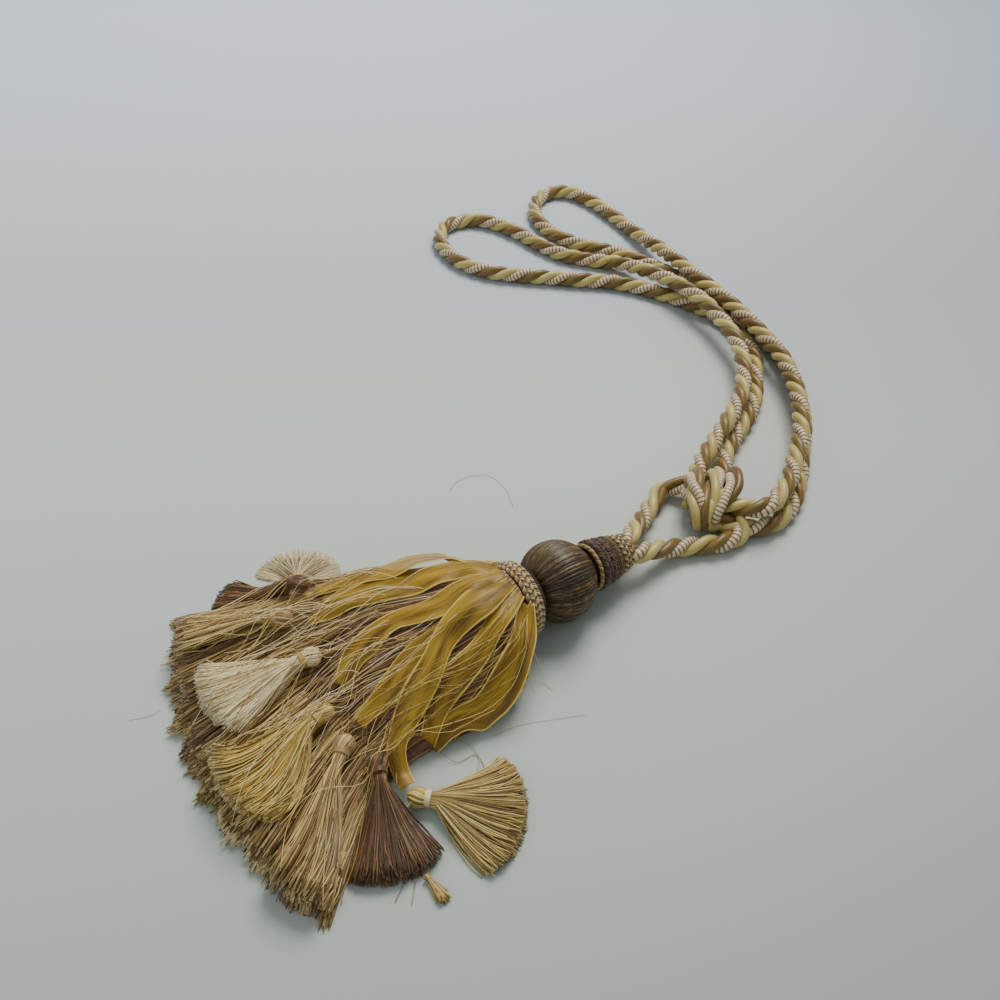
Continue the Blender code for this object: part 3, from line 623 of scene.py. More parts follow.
def top_heights(tree, places, missing=0.0):
    """Height of the surface over each (x, y)."""
    flat = np.reshape(places, (-1, 2))
    heights = []
    for x, y in flat:
        hit = tree.ray_cast((x, y, 90.0), (0.0, 0.0, -1.0))[0]
        heights.append(missing if hit is None else hit.z)
    return np.reshape(heights, np.shape(places)[:-1])


THREAD_BED = surface_tree("skirt_threads")
WHOLE_BED = surface_tree("skirt_threads", "hem_brush", "skirt_collar")

# Reach from the ball's middle, then the angles of the far and the near edge of the threads.
FAN = np.array([(26, 184.5, 245.5), (31, 183.5, 246.5), (48, 173, 253), (66, 168.5, 249.5),
                (91, 168, 239), (112, 171, 233), (130, 174, 232),
                (150, 178, 234.5), (175, 181, 238), (197, 182, 240.3)])
# The same distance from the collar's flat face, as a share of the way from an arc to a straight line.
FAN_SQUARE = np.array([(26, 1), (31, 1), (48, 0.4), (66, 0), (197, 0)])
FAN_MIDDLE = math.radians(215.0)


def fan_distance(reach, angle):
    """Distance from the ball's middle of places at a reach, in the directions of the fan."""
    square = np.interp(reach, FAN_SQUARE[:, 0], FAN_SQUARE[:, 1])
    return reach / np.cos(angle - FAN_MIDDLE) ** square


def fan_places(reach, across):
    """Places on the table at a reach from the ball and a share of the way across the fan."""
    far = np.interp(reach, FAN[:, 0], FAN[:, 1])
    near = np.interp(reach, FAN[:, 0], FAN[:, 2])
    angle = np.radians(far + (near - far) * across)
    distance = fan_distance(reach, angle)
    return BALL_CENTRE[:2] + distance[..., None] * np.stack((np.cos(angle), np.sin(angle)), -1)


def lay_threads(count, points, start, ends, sink, wander, edge=0.995):
    """Lines of threads over the fan: where they start and end, how deep they lie, how much they stray."""
    share = (np.arange(count) + random.uniform(0.0, 1.0, count)) / count
    across = 0.5 - 0.5 * edge * np.cos(share * math.pi)
    across = 0.35 * across + 0.65 * (0.5 + edge * (share - 0.5))
    end = random.uniform(*ends, count)
    part = np.linspace(0.0, 1.0, points)
    reach = start + (end[:, None] - start) * part
    drift = random.normal(0.0, wander, (count, 1)) * part ** 1.3
    wave = random.normal(0.0, wander * 0.25, (count, 1)) * np.sin(
        part * random.uniform(3.0, 9.0, (count, 1)) + random.uniform(0.0, 6.0, (count, 1)))
    swayed = np.clip(across[:, None] + drift + wave * part, 0.5 - edge / 2, 0.5 + edge / 2)
    places = fan_places(reach, swayed)
    heights = top_heights(WHOLE_BED, places, 0.6)
    depth = random.uniform(*sink, (count, 1))
    heights = np.maximum(heights - depth * np.minimum(1.0, heights / 12.0), 0.35)
    return np.concatenate((places, heights[..., None]), -1)


# %% The bed under the threads, painted shade
bed = bpy.data.objects.new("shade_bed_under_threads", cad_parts["skirt_threads"].data.copy())
bed.matrix_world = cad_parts["skirt_threads"].matrix_world.copy()
bpy.context.scene.collection.objects.link(bed)
bpy.ops.object.select_all(action="DESELECT")
bpy.context.view_layer.objects.active = bed
bed.select_set(True)
bpy.ops.object.transform_apply(location=True, rotation=True, scale=True)
bpy.ops.object.mode_set(mode="EDIT")
bpy.ops.mesh.select_all(action="SELECT")
bpy.ops.mesh.remove_doubles(threshold=0.01 * MM)
bpy.ops.mesh.quads_convert_to_tris()
bpy.ops.transform.shrink_fatten(value=-1.3 * MM)
bpy.ops.object.mode_set(mode="OBJECT")
for corner in bed.data.vertices:
    corner.co.z = max(corner.co.z, 0.2 * MM)
# The bed is painted shade: the dark material fills the gaps between the threads.
bed.data.materials.clear()
bed.data.materials.append(dark_for_core_and_shade)
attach(bed, "root")
print("bed:", len(bed.data.polygons), "faces")

# %% Mauve and beige threads
MAUVE = yarn_finish("thread_mauve", [(0.0, (0.040, 0.012, 0.008)), (0.5, (0.16, 0.060, 0.032)),
                                     (1.0, (0.36, 0.185, 0.085))], 0.38, 0.5, 1.2)
BEIGE = yarn_finish("thread_beige", [(0.0, (0.14, 0.070, 0.016)), (0.5, (0.45, 0.285, 0.085)),
                                     (1.0, (0.86, 0.67, 0.31))], 0.34, 0.5, 1.2)
THREAD_POINTS = 14
THREADS_FROM = 29.5                  # their reach at the collar
# Name, finish, threads, where they end, how deep they lie, how much they stray, radius.
for name, finish, count, ends, sink, wander, radius in (
        ("mauve_threads", MAUVE, 1100, (112.0, 136.0), (-0.2, 1.5), 0.025, 0.34),
        ("beige_threads", BEIGE, 300, (116.0, 140.0), (-0.4, 1.4), 0.05, 0.30)):
    lines = lay_threads(count, THREAD_POINTS, THREADS_FROM, ends, sink, wander)
    add_strands(name, lines, radius, 4, random.uniform(0.1, 0.95, (count, 1)), finish, "thread_mauve",
                "skirt_threads")

# %% Threads down the two flanks
FLANK_FROM = 30.5
# Reach from the ball's middle, then how high the flank is there.
FLANK = np.array([(30, 33), (48, 27), (66, 19), (91, 12), (112, 9), (130, 7)])


def flank_threads(name, column, away, count=170, points=13):
    """Threads on one flank of the bed, found by looking at it from beside the fan."""
    part = np.linspace(0.0, 1.0, points)
    end = random.uniform(112.0, 130.0, (count, 1))
    reach = FLANK_FROM + (end - FLANK_FROM) * part
    level = random.uniform(0.02, 0.98, (count, 1)) + random.normal(0.0, 0.06, (count, 1)) * part
    height = np.clip(level, 0.02, 1.0) * np.interp(reach, FLANK[:, 0], FLANK[:, 1])
    angle = np.radians(np.interp(reach, FAN[:, 0], FAN[:, column]) + away)
    distance = fan_distance(reach, angle)
    lines = np.empty((count, points, 3))
    for thread in range(count):
        for point in range(points):
            turn = angle[thread, point]
            radial = np.array([math.cos(turn), math.sin(turn), 0.0])
            inwards = np.array([math.sin(turn), -math.cos(turn), 0.0]) * math.copysign(1.0, away)
            start = np.append(BALL_CENTRE[:2], height[thread, point]) + radial * distance[thread, point]
            hit = THREAD_BED.ray_cast(tuple(start - inwards * 5.0), tuple(inwards), 60.0)[0]
            if hit is None:
                lines[thread, point] = lines[thread, max(point - 1, 0)] + unit(radial) * 6.0
                lines[thread, point, 2] = max(0.5, lines[thread, point - 1, 2] - 0.5)
            else:
                lines[thread, point] = np.array(hit) - inwards * random.uniform(0.0, 0.7)
    lines[..., 2] = np.maximum(lines[..., 2], 0.5)
    return add_strands(name, lines, 0.36, 3, random.uniform(0.1, 0.95, (count, 1)), MAUVE,
                       "thread_mauve", "skirt_threads")


flank_threads("threads_far_flank", 1, -9.0)
flank_threads("threads_near_flank", 2, 9.0)


# %% [markdown]
# ## The brush along the hem
# The hem is a thick band of cut yarn.  It was tied in small bunches of one colour each, so the yarns
# are made bunch by bunch: they start close together under the small tassels, spread, droop to the
# table and end at slightly different lengths.

# %% Yarn of the brush
SAND = yarn_finish("yarn_sand", [(0.0, (0.095, 0.045, 0.010)), (0.45, (0.38, 0.225, 0.062)),
                                 (1.0, (0.84, 0.63, 0.27))], 0.35, 0.5, 1.0)
TAUPE = yarn_finish("yarn_taupe", [(0.0, (0.085, 0.042, 0.016)), (0.5, (0.25, 0.145, 0.055)),
                                   (1.0, (0.52, 0.35, 0.15))], 0.42, 0.5, 1.0)
OLIVE = yarn_finish("yarn_olive", [(0.0, (0.14, 0.11, 0.015)), (0.5, (0.29, 0.23, 0.03)),
                                   (1.0, (0.45, 0.37, 0.08))], 0.42, 0.5, 1.0)
CREAM = yarn_finish("yarn_cream", [(0.0, (0.50, 0.33, 0.12)), (0.4, (0.86, 0.70, 0.37)),
                                   (1.0, (0.97, 0.87, 0.57))], 0.42, 0.5, 1.0)
GOLDEN = yarn_finish("yarn_golden", [(0.0, (0.13, 0.062, 0.007)), (0.45, (0.52, 0.325, 0.058)),
                                     (1.0, (0.94, 0.75, 0.26))], 0.34, 0.5, 1.0)
BROWN = yarn_finish("yarn_brown", [(0.0, (0.030, 0.012, 0.003)), (0.5, (0.135, 0.058, 0.015)),
                                   (1.0, (0.33, 0.175, 0.055))], 0.36, 0.5, 1.0)
# Across the fan from its far edge, each bunch: 0 sand, 1 taupe, 2 olive, 3 cream.
BRUSH_COLOURS = (0, 1, 0, 0, 1, 0, 0, 1, 0, 0, 1, 0, 0, 2, 2, 3, 3, 3, 3, 0, 0, 1, 0, 0)
BUNCHES = len(BRUSH_COLOURS)
YARNS = 168                          # in each bunch
BRUSH_FROM, BRUSH_TO, BRUSH_LIMIT = 106.0, 188.0, 200.0
count = BUNCHES * YARNS
bunch = np.repeat(np.arange(BUNCHES), YARNS)
within = random.uniform(-1.0, 1.0, count)
layer = random.uniform(0.0, 1.0, count)
root = (bunch + 0.5 + within * 0.46) / BUNCHES
tip = (bunch + 0.5 + within * 0.62 + random.normal(0.0, 0.06, count)) / BUNCHES
part = np.linspace(0.0, 1.0, 8)
ends = BRUSH_TO + 8.0 * (1.0 - layer) + random.normal(0.0, 1.6, count) - 4.0 * (1.0 - layer) * abs(within)
ends += 2.5 * np.cos(bunch * 2.4)
reach = BRUSH_FROM + (np.minimum(ends, BRUSH_LIMIT)[:, None] - BRUSH_FROM) * part
across = root[:, None] + (tip - root)[:, None] * part ** 1.5
across += 0.006 * np.sin(part * 7.0 + random.uniform(0.0, 6.0, (count, 1)))
places = fan_places(reach, np.clip(across, 0.004, 0.996))
crest = np.interp(reach, (BRUSH_FROM, 130.0, 150.0, 175.0, BRUSH_TO, BRUSH_LIMIT),
                  (14.0, 13.4, 14.2, 12.6, 10.6, 6.5))
round_edge = np.sqrt(np.clip(1.0 - abs(2 * across - 1) ** 6, 0.05, 1.0))
mound = 1.0 - 0.16 * (within[:, None] * np.clip(part * 1.6 - 0.4, 0.0, 1.0)) ** 2
heights = 0.5 + (crest * round_edge * mound - 0.8) * np.sqrt(layer)[:, None]
heights *= 1.0 - 0.25 * (1 - layer)[:, None] * part
lines = np.concatenate((places, np.maximum(heights, 0.5)[..., None]), -1)
mesh = strand_mesh("hem_yarns", lines, 0.38, 3, random.uniform(0.0, 1.0, (count, 1)))
faces = len(mesh.polygons) // count
colours = np.array(BRUSH_COLOURS)[bunch]
colours = np.where((colours > 1) & (layer > 0.5), 0, colours)
colours = np.where(random.uniform(0.0, 1.0, count) < 0.12, 1, colours)
mesh.polygons.foreach_set("material_index", np.repeat(colours, faces).astype(np.int32))
add_piece("hem_yarns", mesh, (SAND, TAUPE, OLIVE, CREAM), "brush_sand", "hem_brush")


# %% [markdown]
# ## The small tassels
# Each small tassel is a hank of yarn, folded over its cord, tied once, and cut.  So its yarns leave a
# round waist, spread into a fan and settle on whatever lies below, and the fold above the tie makes a
# little round head.  The tie itself is a few turns of the same yarn.

# %% Yarn, head and tie of one small tassel
def ahead_and_beside(angle):
    """The direction at an angle on the table, and the one across it."""
    return (np.array([math.cos(angle), math.sin(angle), 0.0]),
            np.array([-math.sin(angle), math.cos(angle), 0.0]))


def hank_lines(tie, edges, lengths, count, tree, floor_tree, waist=3.0, bow=0.0, points=9):
    """Yarns from a waist to a fan of tips, between what lies below and the tassel's own top."""
    share = random.uniform(0.0, 1.0, count)
    layer = random.uniform(0.0, 1.0, count)
    part = np.linspace(0.0, 1.0, points)
    angle = np.radians(edges[0] + (edges[1] - edges[0]) * share)
    length = lengths[0] + (lengths[1] - lengths[0]) * share
    length = length * (1.0 - 0.02 * random.uniform(0.0, 1.0, count)) + random.normal(0.0, 0.7, count)
    length -= 2.5 * np.abs(2 * share - 1) ** 4
    turned = angle[:, None] + (random.normal(0.0, 0.07, (count, 1)) + bow) * (part - part ** 2) * 2.0
    turned += random.normal(0.0, 0.045, (count, 1)) * part
    away = np.stack((np.cos(turned), np.sin(turned)), -1)
    fan = tie[:2] + away * (length[:, None] * part)[..., None]
    ahead, beside = ahead_and_beside(math.radians(sum(edges) / 2))
    wide = waist * (2 * share - 1)
    narrow = tie[:2] + beside[:2] * wide[:, None, None]
    narrow = narrow + ahead[:2] * (length[:, None] * part)[..., None]
    spread = np.clip(part / 0.16, 0.0, 1.0)[None, :, None]
    places = narrow * (1 - spread) + fan * spread
    below = top_heights(floor_tree, places, 0.0)
    above = top_heights(tree, places, -1.0)
    above = np.where(above < 0.0, below + 2.0, above)
    above = np.maximum(above, below + 1.2)
    lying = below + 0.5 + (above - below - 1.0) * layer[:, None] ** 0.7
    tied = tie[2] + waist * (2 * layer - 1)[:, None] * np.sqrt(1 - (2 * share - 1) ** 2)[:, None]
    settle = np.clip(part / 0.22, 0.0, 1.0)
    settle = settle * settle * (3 - 2 * settle)
    heights = np.maximum(tied * (1 - settle) + lying * settle, 0.5)
    return np.concatenate((places, heights[..., None]), -1)


def head_lines(tie, middle, count=44, size=1.0):
    """Yarns folded over the cord: a little round head behind the tie."""
    along = np.array([-9.0, -8.5, -7.6, -6.2, -4.6, -3.0, -1.5, 0.0, 1.5]) * size
    radius = np.array([0.5, 1.9, 3.2, 4.1, 4.3, 4.0, 3.4, 2.9, 2.9]) * size
    turn = (np.arange(count) * math.tau / count + random.normal(0.0, 0.04, count))[:, None]
    swirl = turn + 0.12 * (along / size)[None, :] * 0.5
    ahead, beside = ahead_and_beside(middle)
    rough = 1.0 + random.normal(0.0, 0.03, (count, 1))
    return (tie + along[None, :, None] * ahead
            + (radius * rough * np.cos(swirl))[..., None] * beside
            + (radius * rough * np.sin(swirl))[..., None] * np.array([0.0, 0.0, 1.0]))


def tie_lines(tie, middle, turns=4, radius=3.5):
    """A thread wound a few times around the waist."""
    points = turns * 18 + 1
    turn = np.linspace(0.0, turns * math.tau, points)
    ahead, beside = ahead_and_beside(middle)
    step = np.linspace(-1.2, 1.2, points) + 0.25 * np.sin(turn)
    return (tie + step[:, None] * ahead + radius * np.cos(turn)[:, None] * beside
            + radius * np.sin(turn)[:, None] * np.array([0.0, 0.0, 1.0]))[None]


# %% The eight small tassels
YARN, FINE_YARN = 0.34, 0.22         # radii
# Name, tie x and y, edges of the fan, lengths along them, yarns, bow, finish, slot, finish of the tie.
SMALL_TASSELS = (
    ("brown_far", -61, 66, 158, 188, 40, 44, 560, 0, BROWN, "yarn_brown", BROWN),
    ("cream_far", -61.5, 79.5, 24, 166, 25, 27, 260, 0, CREAM, "yarn_cream", GOLDEN),
    ("beige", -66, 41, 173, 198, 48, 49, 540, 0, BEIGE, "yarn_beige", BEIGE),
    ("cream_front", -48.3, 14.7, 180, 233, 52, 45, 700, 0.1, CREAM, "yarn_cream", GOLDEN),
    ("gold_beige", -38, -17, 196, 254, 49, 51, 720, 0.35, GOLDEN, "yarn_gold", GOLDEN),
    ("sand", -25, -33.5, 244, 266, 59, 67, 540, 0.2, SAND, "yarn_beige", SAND),
    ("dark_brown", -8, -41, 251, 311, 46, 44, 820, 0, BROWN, "yarn_brown", BROWN),
    ("light_gold", 13.5, -48.5, 310, 393, 45, 42, 760, -0.1, GOLDEN, "yarn_gold", CREAM),
)
for (name, x, y, left, right, left_length, right_length, count, bow, finish, slot,
     tie_finish) in SMALL_TASSELS:
    low, high = (np.array(corner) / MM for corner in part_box("tie_" + name))
    tie = np.array([x + SHIFT[0], y + SHIFT[1], (low[2] + high[2]) / 2])
    tree = surface_tree("tassel_" + name)
    lines = hank_lines(tie, (left, right), (left_length, right_length), count, tree, WHOLE_BED, bow=bow)
    radius = FINE_YARN if name == "cream_far" else YARN
    add_strands(name + "_yarns", lines, radius, 3, random.uniform(0.0, 1.0, (count, 1)), finish,
                slot, "tassel_" + name)
    middle = math.radians((left + right) / 2)
    lines = head_lines(tie, middle)
    add_strands(name + "_head", lines, 0.5, 5, random.uniform(0.1, 0.9, (len(lines), 1)), finish,
                slot, "tassel_" + name, beside=np.broadcast_to((0.0, 0.0, 1.0), lines.shape) + 0.01)
    add_strands(name + "_tie", tie_lines(tie, middle), 0.48, 8, 0.5, tie_finish, "tie_thread",
                "tie_" + name)

# %% The loose gold tuft
TUFT_YARNS = 70
tuft_tie = np.array([14.5 + SHIFT[0], -82.5 + SHIFT[1], 2.4])
lines = hank_lines(tuft_tie, (296.0, 322.0), (13.0, 13.0), TUFT_YARNS,
                   surface_tree("tassel_gold_tuft"), WHOLE_BED, waist=1.8)
add_strands("gold_tuft_yarns", lines, 0.42, 4, random.uniform(0.0, 0.7, (TUFT_YARNS, 1)), GOLDEN,
            "yarn_gold", "tassel_gold_tuft")


# %% [markdown]
# ## Sheer ribbons
# Wide ribbons of sheer mustard cloth are sewn in under the collar and lie loosely on the threads.  One
# ribbon is a strip of faces along its route: it follows the bed, arches a little between its edges and
# ripples along its length.  Its woven edges are closer and brighter than the open middle.

# %% Ribbon cloth
def ribbon_finish():
    """Sheer cloth with closer edges; tone runs from 0 in the middle to 1 at an edge."""
    material, tree, shader = new_finish("ribbon_mustard", 0.48)
    shader.inputs["Sheen Weight"].default_value = 0.2
    shader.inputs["Sheen Roughness"].default_value = 0.35
    lie = read_attribute(tree, "lie", "Vector")
    tone = read_attribute(tree, "tone", "Fac")
    streaks = stretched_noise(tree, lie, 2.2, 0.05, 4.0)
    # Painted shade and light of folds: a broad noise along the ribbon darkens and lightens the cloth's
    # colour, mixed with its own fine streaks.
    painted_fold_shade = stretched_noise(tree, lie, 0.18, 0.03, 2.0)
    place = calculate(tree, "ADD", calculate(tree, "MULTIPLY", streaks, 0.3),
                      calculate(tree, "MULTIPLY", painted_fold_shade, 0.7))
    cloth = colour_ramp(tree, [(0.38, (0.17, 0.085, 0.003)), (0.5, (0.41, 0.230, 0.008)),
                               (0.64, (0.68, 0.44, 0.03))])
    tree.links.new(place, cloth.inputs["Fac"])
    edge = colour_ramp(tree, [(0.86, (0.0, 0.0, 0.0)), (0.93, (1.0, 1.0, 1.0))])
    tree.links.new(tone, edge.inputs["Fac"])
    mix = tree.nodes.new("ShaderNodeMix")
    mix.data_type = "RGBA"
    tree.links.new(edge.outputs["Color"], mix.inputs["Factor"])
    tree.links.new(cloth.outputs["Color"], mix.inputs["A"])
    mix.inputs["B"].default_value = (0.80, 0.58, 0.12, 1.0)
    tree.links.new(mix.outputs["Result"], shader.inputs["Base Color"])
    cover = calculate(tree, "ADD", calculate(tree, "MULTIPLY", edge.outputs["Color"], 0.4),
                      calculate(tree, "MULTIPLY", streaks, 0.25))
    tree.links.new(calculate(tree, "ADD", cover, 0.50), shader.inputs["Alpha"])
    add_bump(tree, shader, place, 0.5, 0.6)
    return material


RIBBON = ribbon_finish()
STEEPEST_ACROSS, STEEPEST_ALONG = 0.7, 1.2      # rise for each millimetre across; for each row along
ACROSS = np.array([-1.0, -0.93, -0.86, -0.7, -0.5, -0.25, 0.0, 0.25, 0.5, 0.7, 0.86, 0.93, 1.0])


def lay_ribbon(name, route, cup, twist, seed_turn, nodes):
    """One ribbon along its route: rows of (x, y, lift above the bed, width)."""
    line = smooth_line(route, 1.6)
    centre = line[:, :2] + SHIFT[:2]
    ahead = unit(np.gradient(centre, axis=0))
    beside = np.stack((-ahead[:, 1], ahead[:, 0]), -1)
    run = travelled(np.concatenate((centre, np.zeros((len(centre), 1))), -1))
    width = line[:, 3]
    ripple = 1.0 + 0.10 * np.sin(run / 6.5 + seed_turn)
    places = centre[:, None] + beside[:, None] * (ACROSS * (width * ripple)[:, None] / 2)[..., None]
    bed_height = top_heights(WHOLE_BED, places, 0.0)
    kernel = np.ones(7) / 7
    smooth = np.stack([np.convolve(np.pad(column, 3, mode="edge"), kernel, mode="valid")
                       for column in bed_height.T], -1)
    smooth = np.maximum(smooth, bed_height)
    level = smooth[:, [6]] * 0.45 + smooth * 0.55
    bend = cup * (1 - ACROSS ** 2)[None, :] * np.clip(width / 12.0, 0.3, 1.3)[:, None]
    lean = twist * ACROSS[None, :] * np.sin(run / 17.0 + seed_turn * 2)[:, None]
    waves = 0.8 * np.sin(run / 5.2 + seed_turn)[:, None] * np.abs(ACROSS)[None, :] ** 1.5
    waves = waves + 0.6 * np.sin(run / 3.4 + seed_turn * 3)[:, None] * (ACROSS[None, :] > 0.2)
    heights = np.maximum(level, bed_height) + line[:, 2][:, None] + bend + lean + waves
    heights = np.maximum(heights, bed_height + 0.35)
    gaps = np.diff(ACROSS) * width.mean() / 2
    for column in range(7, 13):
        fall = STEEPEST_ACROSS * gaps[column - 1]
        heights[:, column] = np.maximum(heights[:, column], heights[:, column - 1] - fall)
        other = 12 - column
        fall = STEEPEST_ACROSS * gaps[other]
        heights[:, other] = np.maximum(heights[:, other], heights[:, other + 1] - fall)
    for row in range(1, len(heights)):
        heights[row] = np.maximum(heights[row], heights[row - 1] - STEEPEST_ALONG)
        heights[-row - 1] = np.maximum(heights[-row - 1], heights[-row] - STEEPEST_ALONG)
    points = np.concatenate((places, heights[..., None]), -1)
    rows, columns = heights.shape
    corner = (np.arange(rows - 1)[:, None] * columns + np.arange(columns - 1)[None, :])
    faces = np.stack((corner, corner + 1, corner + columns + 1, corner + columns), -1).reshape(-1, 4)
    mesh = bpy.data.meshes.new(name)
    mesh.from_pydata((points.reshape(-1, 3) * MM).tolist(), [], faces.tolist())
    mesh.shade_smooth()
    lie = np.zeros((rows, columns, 3))
    lie[..., 0] = ACROSS * width[:, None] / 2
    lie[..., 2] = run[:, None] + seed_turn * 50.0
    set_surface(mesh, lie, np.repeat(np.abs(ACROSS)[None], rows, 0))
    piece = add_piece(name, mesh, (RIBBON,), "ribbon_mustard", *nodes)
    bpy.ops.object.select_all(action="DESELECT")
    bpy.context.view_layer.objects.active = piece
    bpy.ops.object.modifier_add(type="SOLIDIFY")
    piece.modifiers["Solidify"].thickness = 0.22 * MM
    bpy.ops.object.modifier_apply(modifier="Solidify")
    return piece


# Each route: x, y, lift above the bed, width.
RIBBONS = {
    "ribbon_far": (
        (42, 61, -1.5, 9), (34, 67, 4, 14), (20, 72.5, 8, 16), (2, 70.5, 7, 14), (-16, 65.5, 3.5, 11),
        (-34, 66.5, 2.4, 11), (-50, 65, 2, 7)),
    "ribbon_upper": (
        (44, 56.5, -1.5, 10), (30, 58, 2.5, 15), (12, 54.5, 2.6, 15), (-10, 47, 2.4, 10),
        (-32, 48, 2.2, 11), (-50, 42, 1.6, 6)),
    "ribbon_middle": (
        (46, 51.5, -1.5, 10), (32, 43, 2.6, 14), (16, 34, 2.8, 14), (-4, 30, 2.6, 12),
        (-21, 19, 2.2, 13), (-29, 2, 1.6, 8)),
    "ribbon_long": (
        (49, 45.5, -1.5, 10), (37, 33, 4, 15), (22, 20, 4.8, 13), (13, 3, 4.8, 12), (3.5, -13, 4.4, 13),
        (-1.5, -29, 4.4, 9), (4.5, -43, 6.5, 6)),
    "ribbon_inner": (
        (38, 38, 0.6, 11), (24, 24, 2, 13), (6, 13, 2.2, 11), (-8, -4, 2, 12), (-19, -17, 1.6, 7)),
    "ribbon_lower": (
        (52.5, 40.5, -1.5, 9), (45, 27, 2, 11), (34, 10, 2, 11), (19, -5, 2, 12), (12, -22, 2, 7)),
    "ribbon_near": (
        (57, 36.5, -1.5, 8), (56.5, 21, 2, 12), (49.5, 5, 2.2, 13), (37.5, -7, 2.2, 11),
        (25, -13, 2.2, 9), (14, -21, 2.2, 6)),
}
UNDER_FAR = ((41, 63, -2, 9), (26, 64, 1.2, 13), (4, 61, 1.2, 11), (-20, 58, 1.2, 10), (-44, 55, 1.2, 6))
for number, (name, route) in enumerate(RIBBONS.items()):
    lay_ribbon(name + "_cloth", route, 1.6, 1.1, 1.3 * number + 0.4, (name,))
lay_ribbon("under_far", UNDER_FAR, 0.8, 0.6, 0.9, ())


# %% [markdown]
# ## Loose threads
# Single cream and gold threads have worked loose.  They start under the collar, run in long arcs over
# the ribbons and the small tassels, and end anywhere along the fringe.

# %% Threads over everything
def loose_threads(name, count, starts, ends, spread, finish, radius, bows, lifts):
    """Long threads that arc over the ribbons and the tassels."""
    points = 18
    part = np.linspace(0.0, 1.0, points)
    start = random.uniform(*starts, (count, 1))
    end = random.uniform(*ends, (count, 1))
    first = random.uniform(*spread, (count, 1))
    last = np.clip(first + random.normal(0.02, 0.07, (count, 1)), 0.02, 0.99)
    reach = start + (end - start) * part
    across = first + (last - first) * part
    across = across + random.normal(0.0, bows, (count, 1)) * np.sin(part * math.pi)
    across = across + 0.3 * random.normal(0.0, bows, (count, 1)) * np.sin(
        part * random.uniform(4.0, 9.0, (count, 1)))
    places = fan_places(reach, np.clip(across, 0.01, 1.02))
    heights = top_heights(EVERYTHING, places, 0.5)
    for smoothing in range(4):
        wider = np.concatenate((heights[:, :1], heights, heights[:, -1:]), 1)
        if smoothing == 0:
            heights = np.maximum(heights, np.maximum(wider[:, :-2], wider[:, 2:]))
        else:
            heights = (wider[:, :-2] + 2 * heights + wider[:, 2:]) / 4
    lift = random.uniform(*lifts, (count, 1)) * np.sin(np.clip(part * 1.15, 0.0, 1.0) * math.pi) ** 0.7
    lines = np.concatenate((places, (heights + radius + lift)[..., None]), -1)
    return add_strands(name, lines, radius, 3, random.uniform(0.1, 1.0, (count, 1)), finish,
                       "thread_mauve")


EVERYTHING = surface_tree("skirt_threads", "hem_brush", "skirt_collar", *(
    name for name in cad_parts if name.startswith(("tassel_", "ribbon_"))))
loose_threads("loose_cream_threads", 44, (62.0, 118.0), (125.0, 192.0), (0.03, 0.72), CREAM, 0.15, 0.07,
              (0.3, 4.0))
loose_threads("loose_golden_threads", 80, (78.0, 125.0), (130.0, 194.0), (0.03, 0.97), GOLDEN, 0.16, 0.06,
              (0.2, 2.6))
loose_threads("loose_near_threads", 30, (30.0, 50.0), (80.0, 135.0), (0.74, 1.0), GOLDEN, 0.15, 0.05,
              (0.2, 3.0))


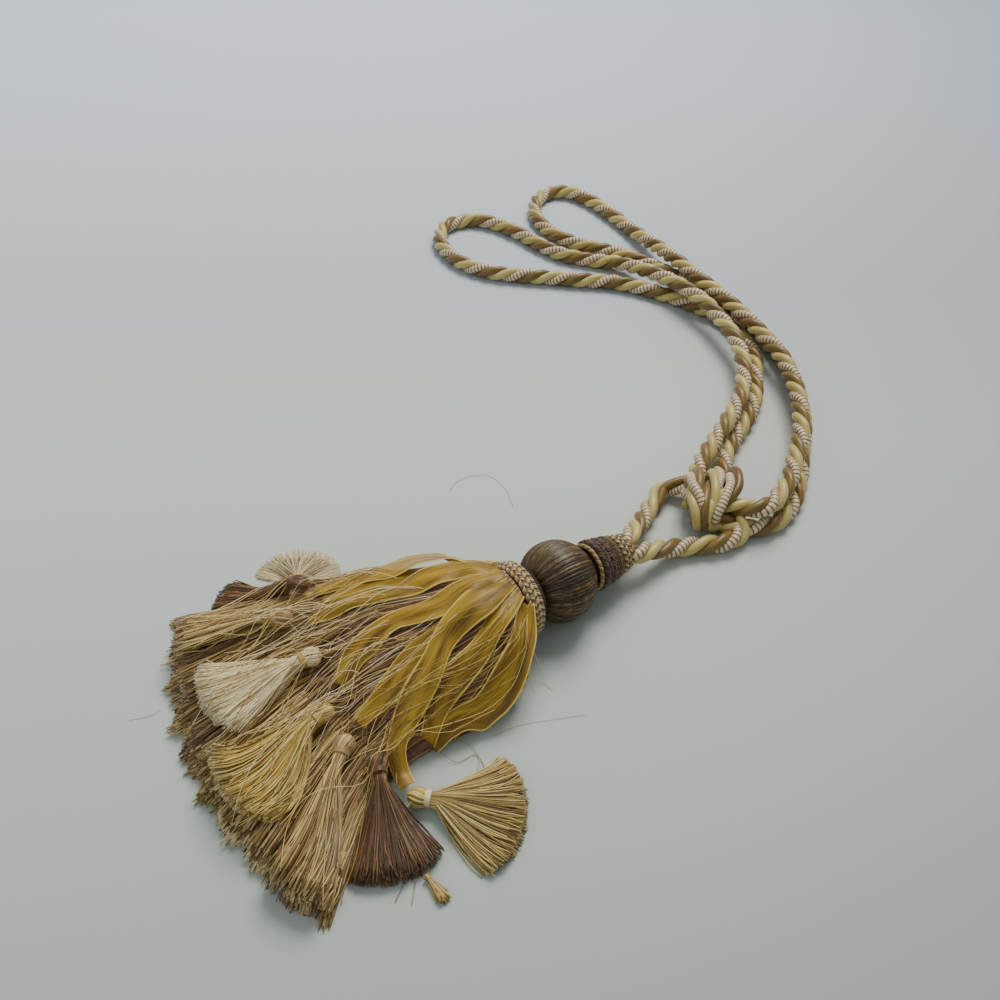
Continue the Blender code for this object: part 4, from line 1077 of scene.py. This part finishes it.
# %% Single stray threads
# Each is a list of places in millimetres, the way the thread happens to lie.
STRAY_THREADS = (
    (CREAM, 0.14, (
        (64, 30, 19), (68, 26, 9), (71, 21, 1.5), (75, 16, 0.4))),
    (CREAM, 0.10, (
        (60, 34, 24), (61, 28, 14), (65, 22, 4), (66, 15, 0.4))),
    (GOLDEN, 0.16, (
        (4, -40, 9), (3, -28, 6), (8, -17, 3), (21, -12, 1.5), (34, -14, 1), (40, -23, 1), (35, -35, 3),
        (22, -42, 8))),
    (CREAM, 0.14, (
        (12, -47, 8), (6, -52, 7), (0, -46, 9), (-4, -36, 10), (-8, -30, 11))),
    (BROWN, 0.13, (
        (22, -20, 2.5), (30, -24, 0.8), (38, -20, 0.5), (42, -26, 0.5), (39, -31, 0.5))),
    (MAUVE, 0.08, (
        (20, 156, 0.3), (24, 164, 0.3), (32, 169, 0.3), (43, 169, 0.3), (52, 159, 0.3), (57, 143, 0.3))),
    (SAND, 0.10, (
        (-112, 4, 1), (-118, 1, 0.4), (-126, -1, 0.3))),
    (SAND, 0.08, (
        (46, -10, 1), (58, -4, 0.3), (72, -1, 0.3), (90, 2, 0.3))),
    (TAUPE, 0.18, (
        (-12, -72, 4), (-15, -82, 1.2), (-16, -91, 0.4))),
    (TAUPE, 0.18, (
        (10, -70, 4), (9, -82, 1), (6, -90, 0.4))),
    (TAUPE, 0.16, (
        (16, -72, 3), (14, -82, 0.8), (13, -91, 0.4))),
    (BROWN, 0.12, (
        (-30, 78, 8), (-22, 86, 9), (-8, 88, 12), (4, 84, 20))),
)
for number, (finish, radius, places) in enumerate(STRAY_THREADS):
    line = smooth_line(places, 1.5)[None]
    add_strands(f"stray_thread_{number + 1}", line, radius, 5, 0.5, finish, "thread_mauve")


# %% [markdown]
# ## The table
# The tieback lies on a plain pale table.  Light and shade are painted into its colour, which changes
# slowly
# across it: cooler and lighter towards the far left, where the window's light falls, and a little darker
# close by.

# %% Table
bpy.ops.mesh.primitive_plane_add(size=6.0, location=(0.0, 0.5, 0.0))
table = bpy.context.object
table.name = "table"
table_painted_light, table_tree, table_shader = new_finish("table_painted_light", 0.6)
coordinates = table_tree.nodes.new("ShaderNodeTexCoord")
table_place = table_tree.nodes.new("ShaderNodeSeparateXYZ")
table_tree.links.new(coordinates.outputs["Object"], table_place.inputs[0])
# Painted light and shade: darker close by, cooler and lighter far off, and lighter towards the left, where
# the window's light falls.
away = calculate(table_tree, "MULTIPLY", calculate(table_tree, "ADD", table_place.outputs["Y"], 0.63), 0.9)
shade = colour_ramp(table_tree, [(0.0, (0.435, 0.485, 0.43)), (0.09, (0.485, 0.545, 0.475)),
                                 (0.3, (0.58, 0.61, 0.54)), (0.45, (0.50, 0.55, 0.565)),
                                 (0.95, (0.64, 0.715, 0.83))])
table_tree.links.new(away, shade.inputs["Fac"])
across_table = calculate(table_tree, "MAXIMUM", calculate(
    table_tree, "MINIMUM", table_place.outputs["X"], 0.6), -0.6)
painted_window_light = calculate(table_tree, "SUBTRACT", 1.0, calculate(table_tree, "MULTIPLY", across_table, 0.62))
lit = table_tree.nodes.new("ShaderNodeVectorMath")
lit.operation = "SCALE"
table_tree.links.new(shade.outputs["Color"], lit.inputs[0])
table_tree.links.new(painted_window_light, lit.inputs["Scale"])
table_tree.links.new(lit.outputs[0], table_shader.inputs["Base Color"])
table.data.materials.append(table_painted_light)
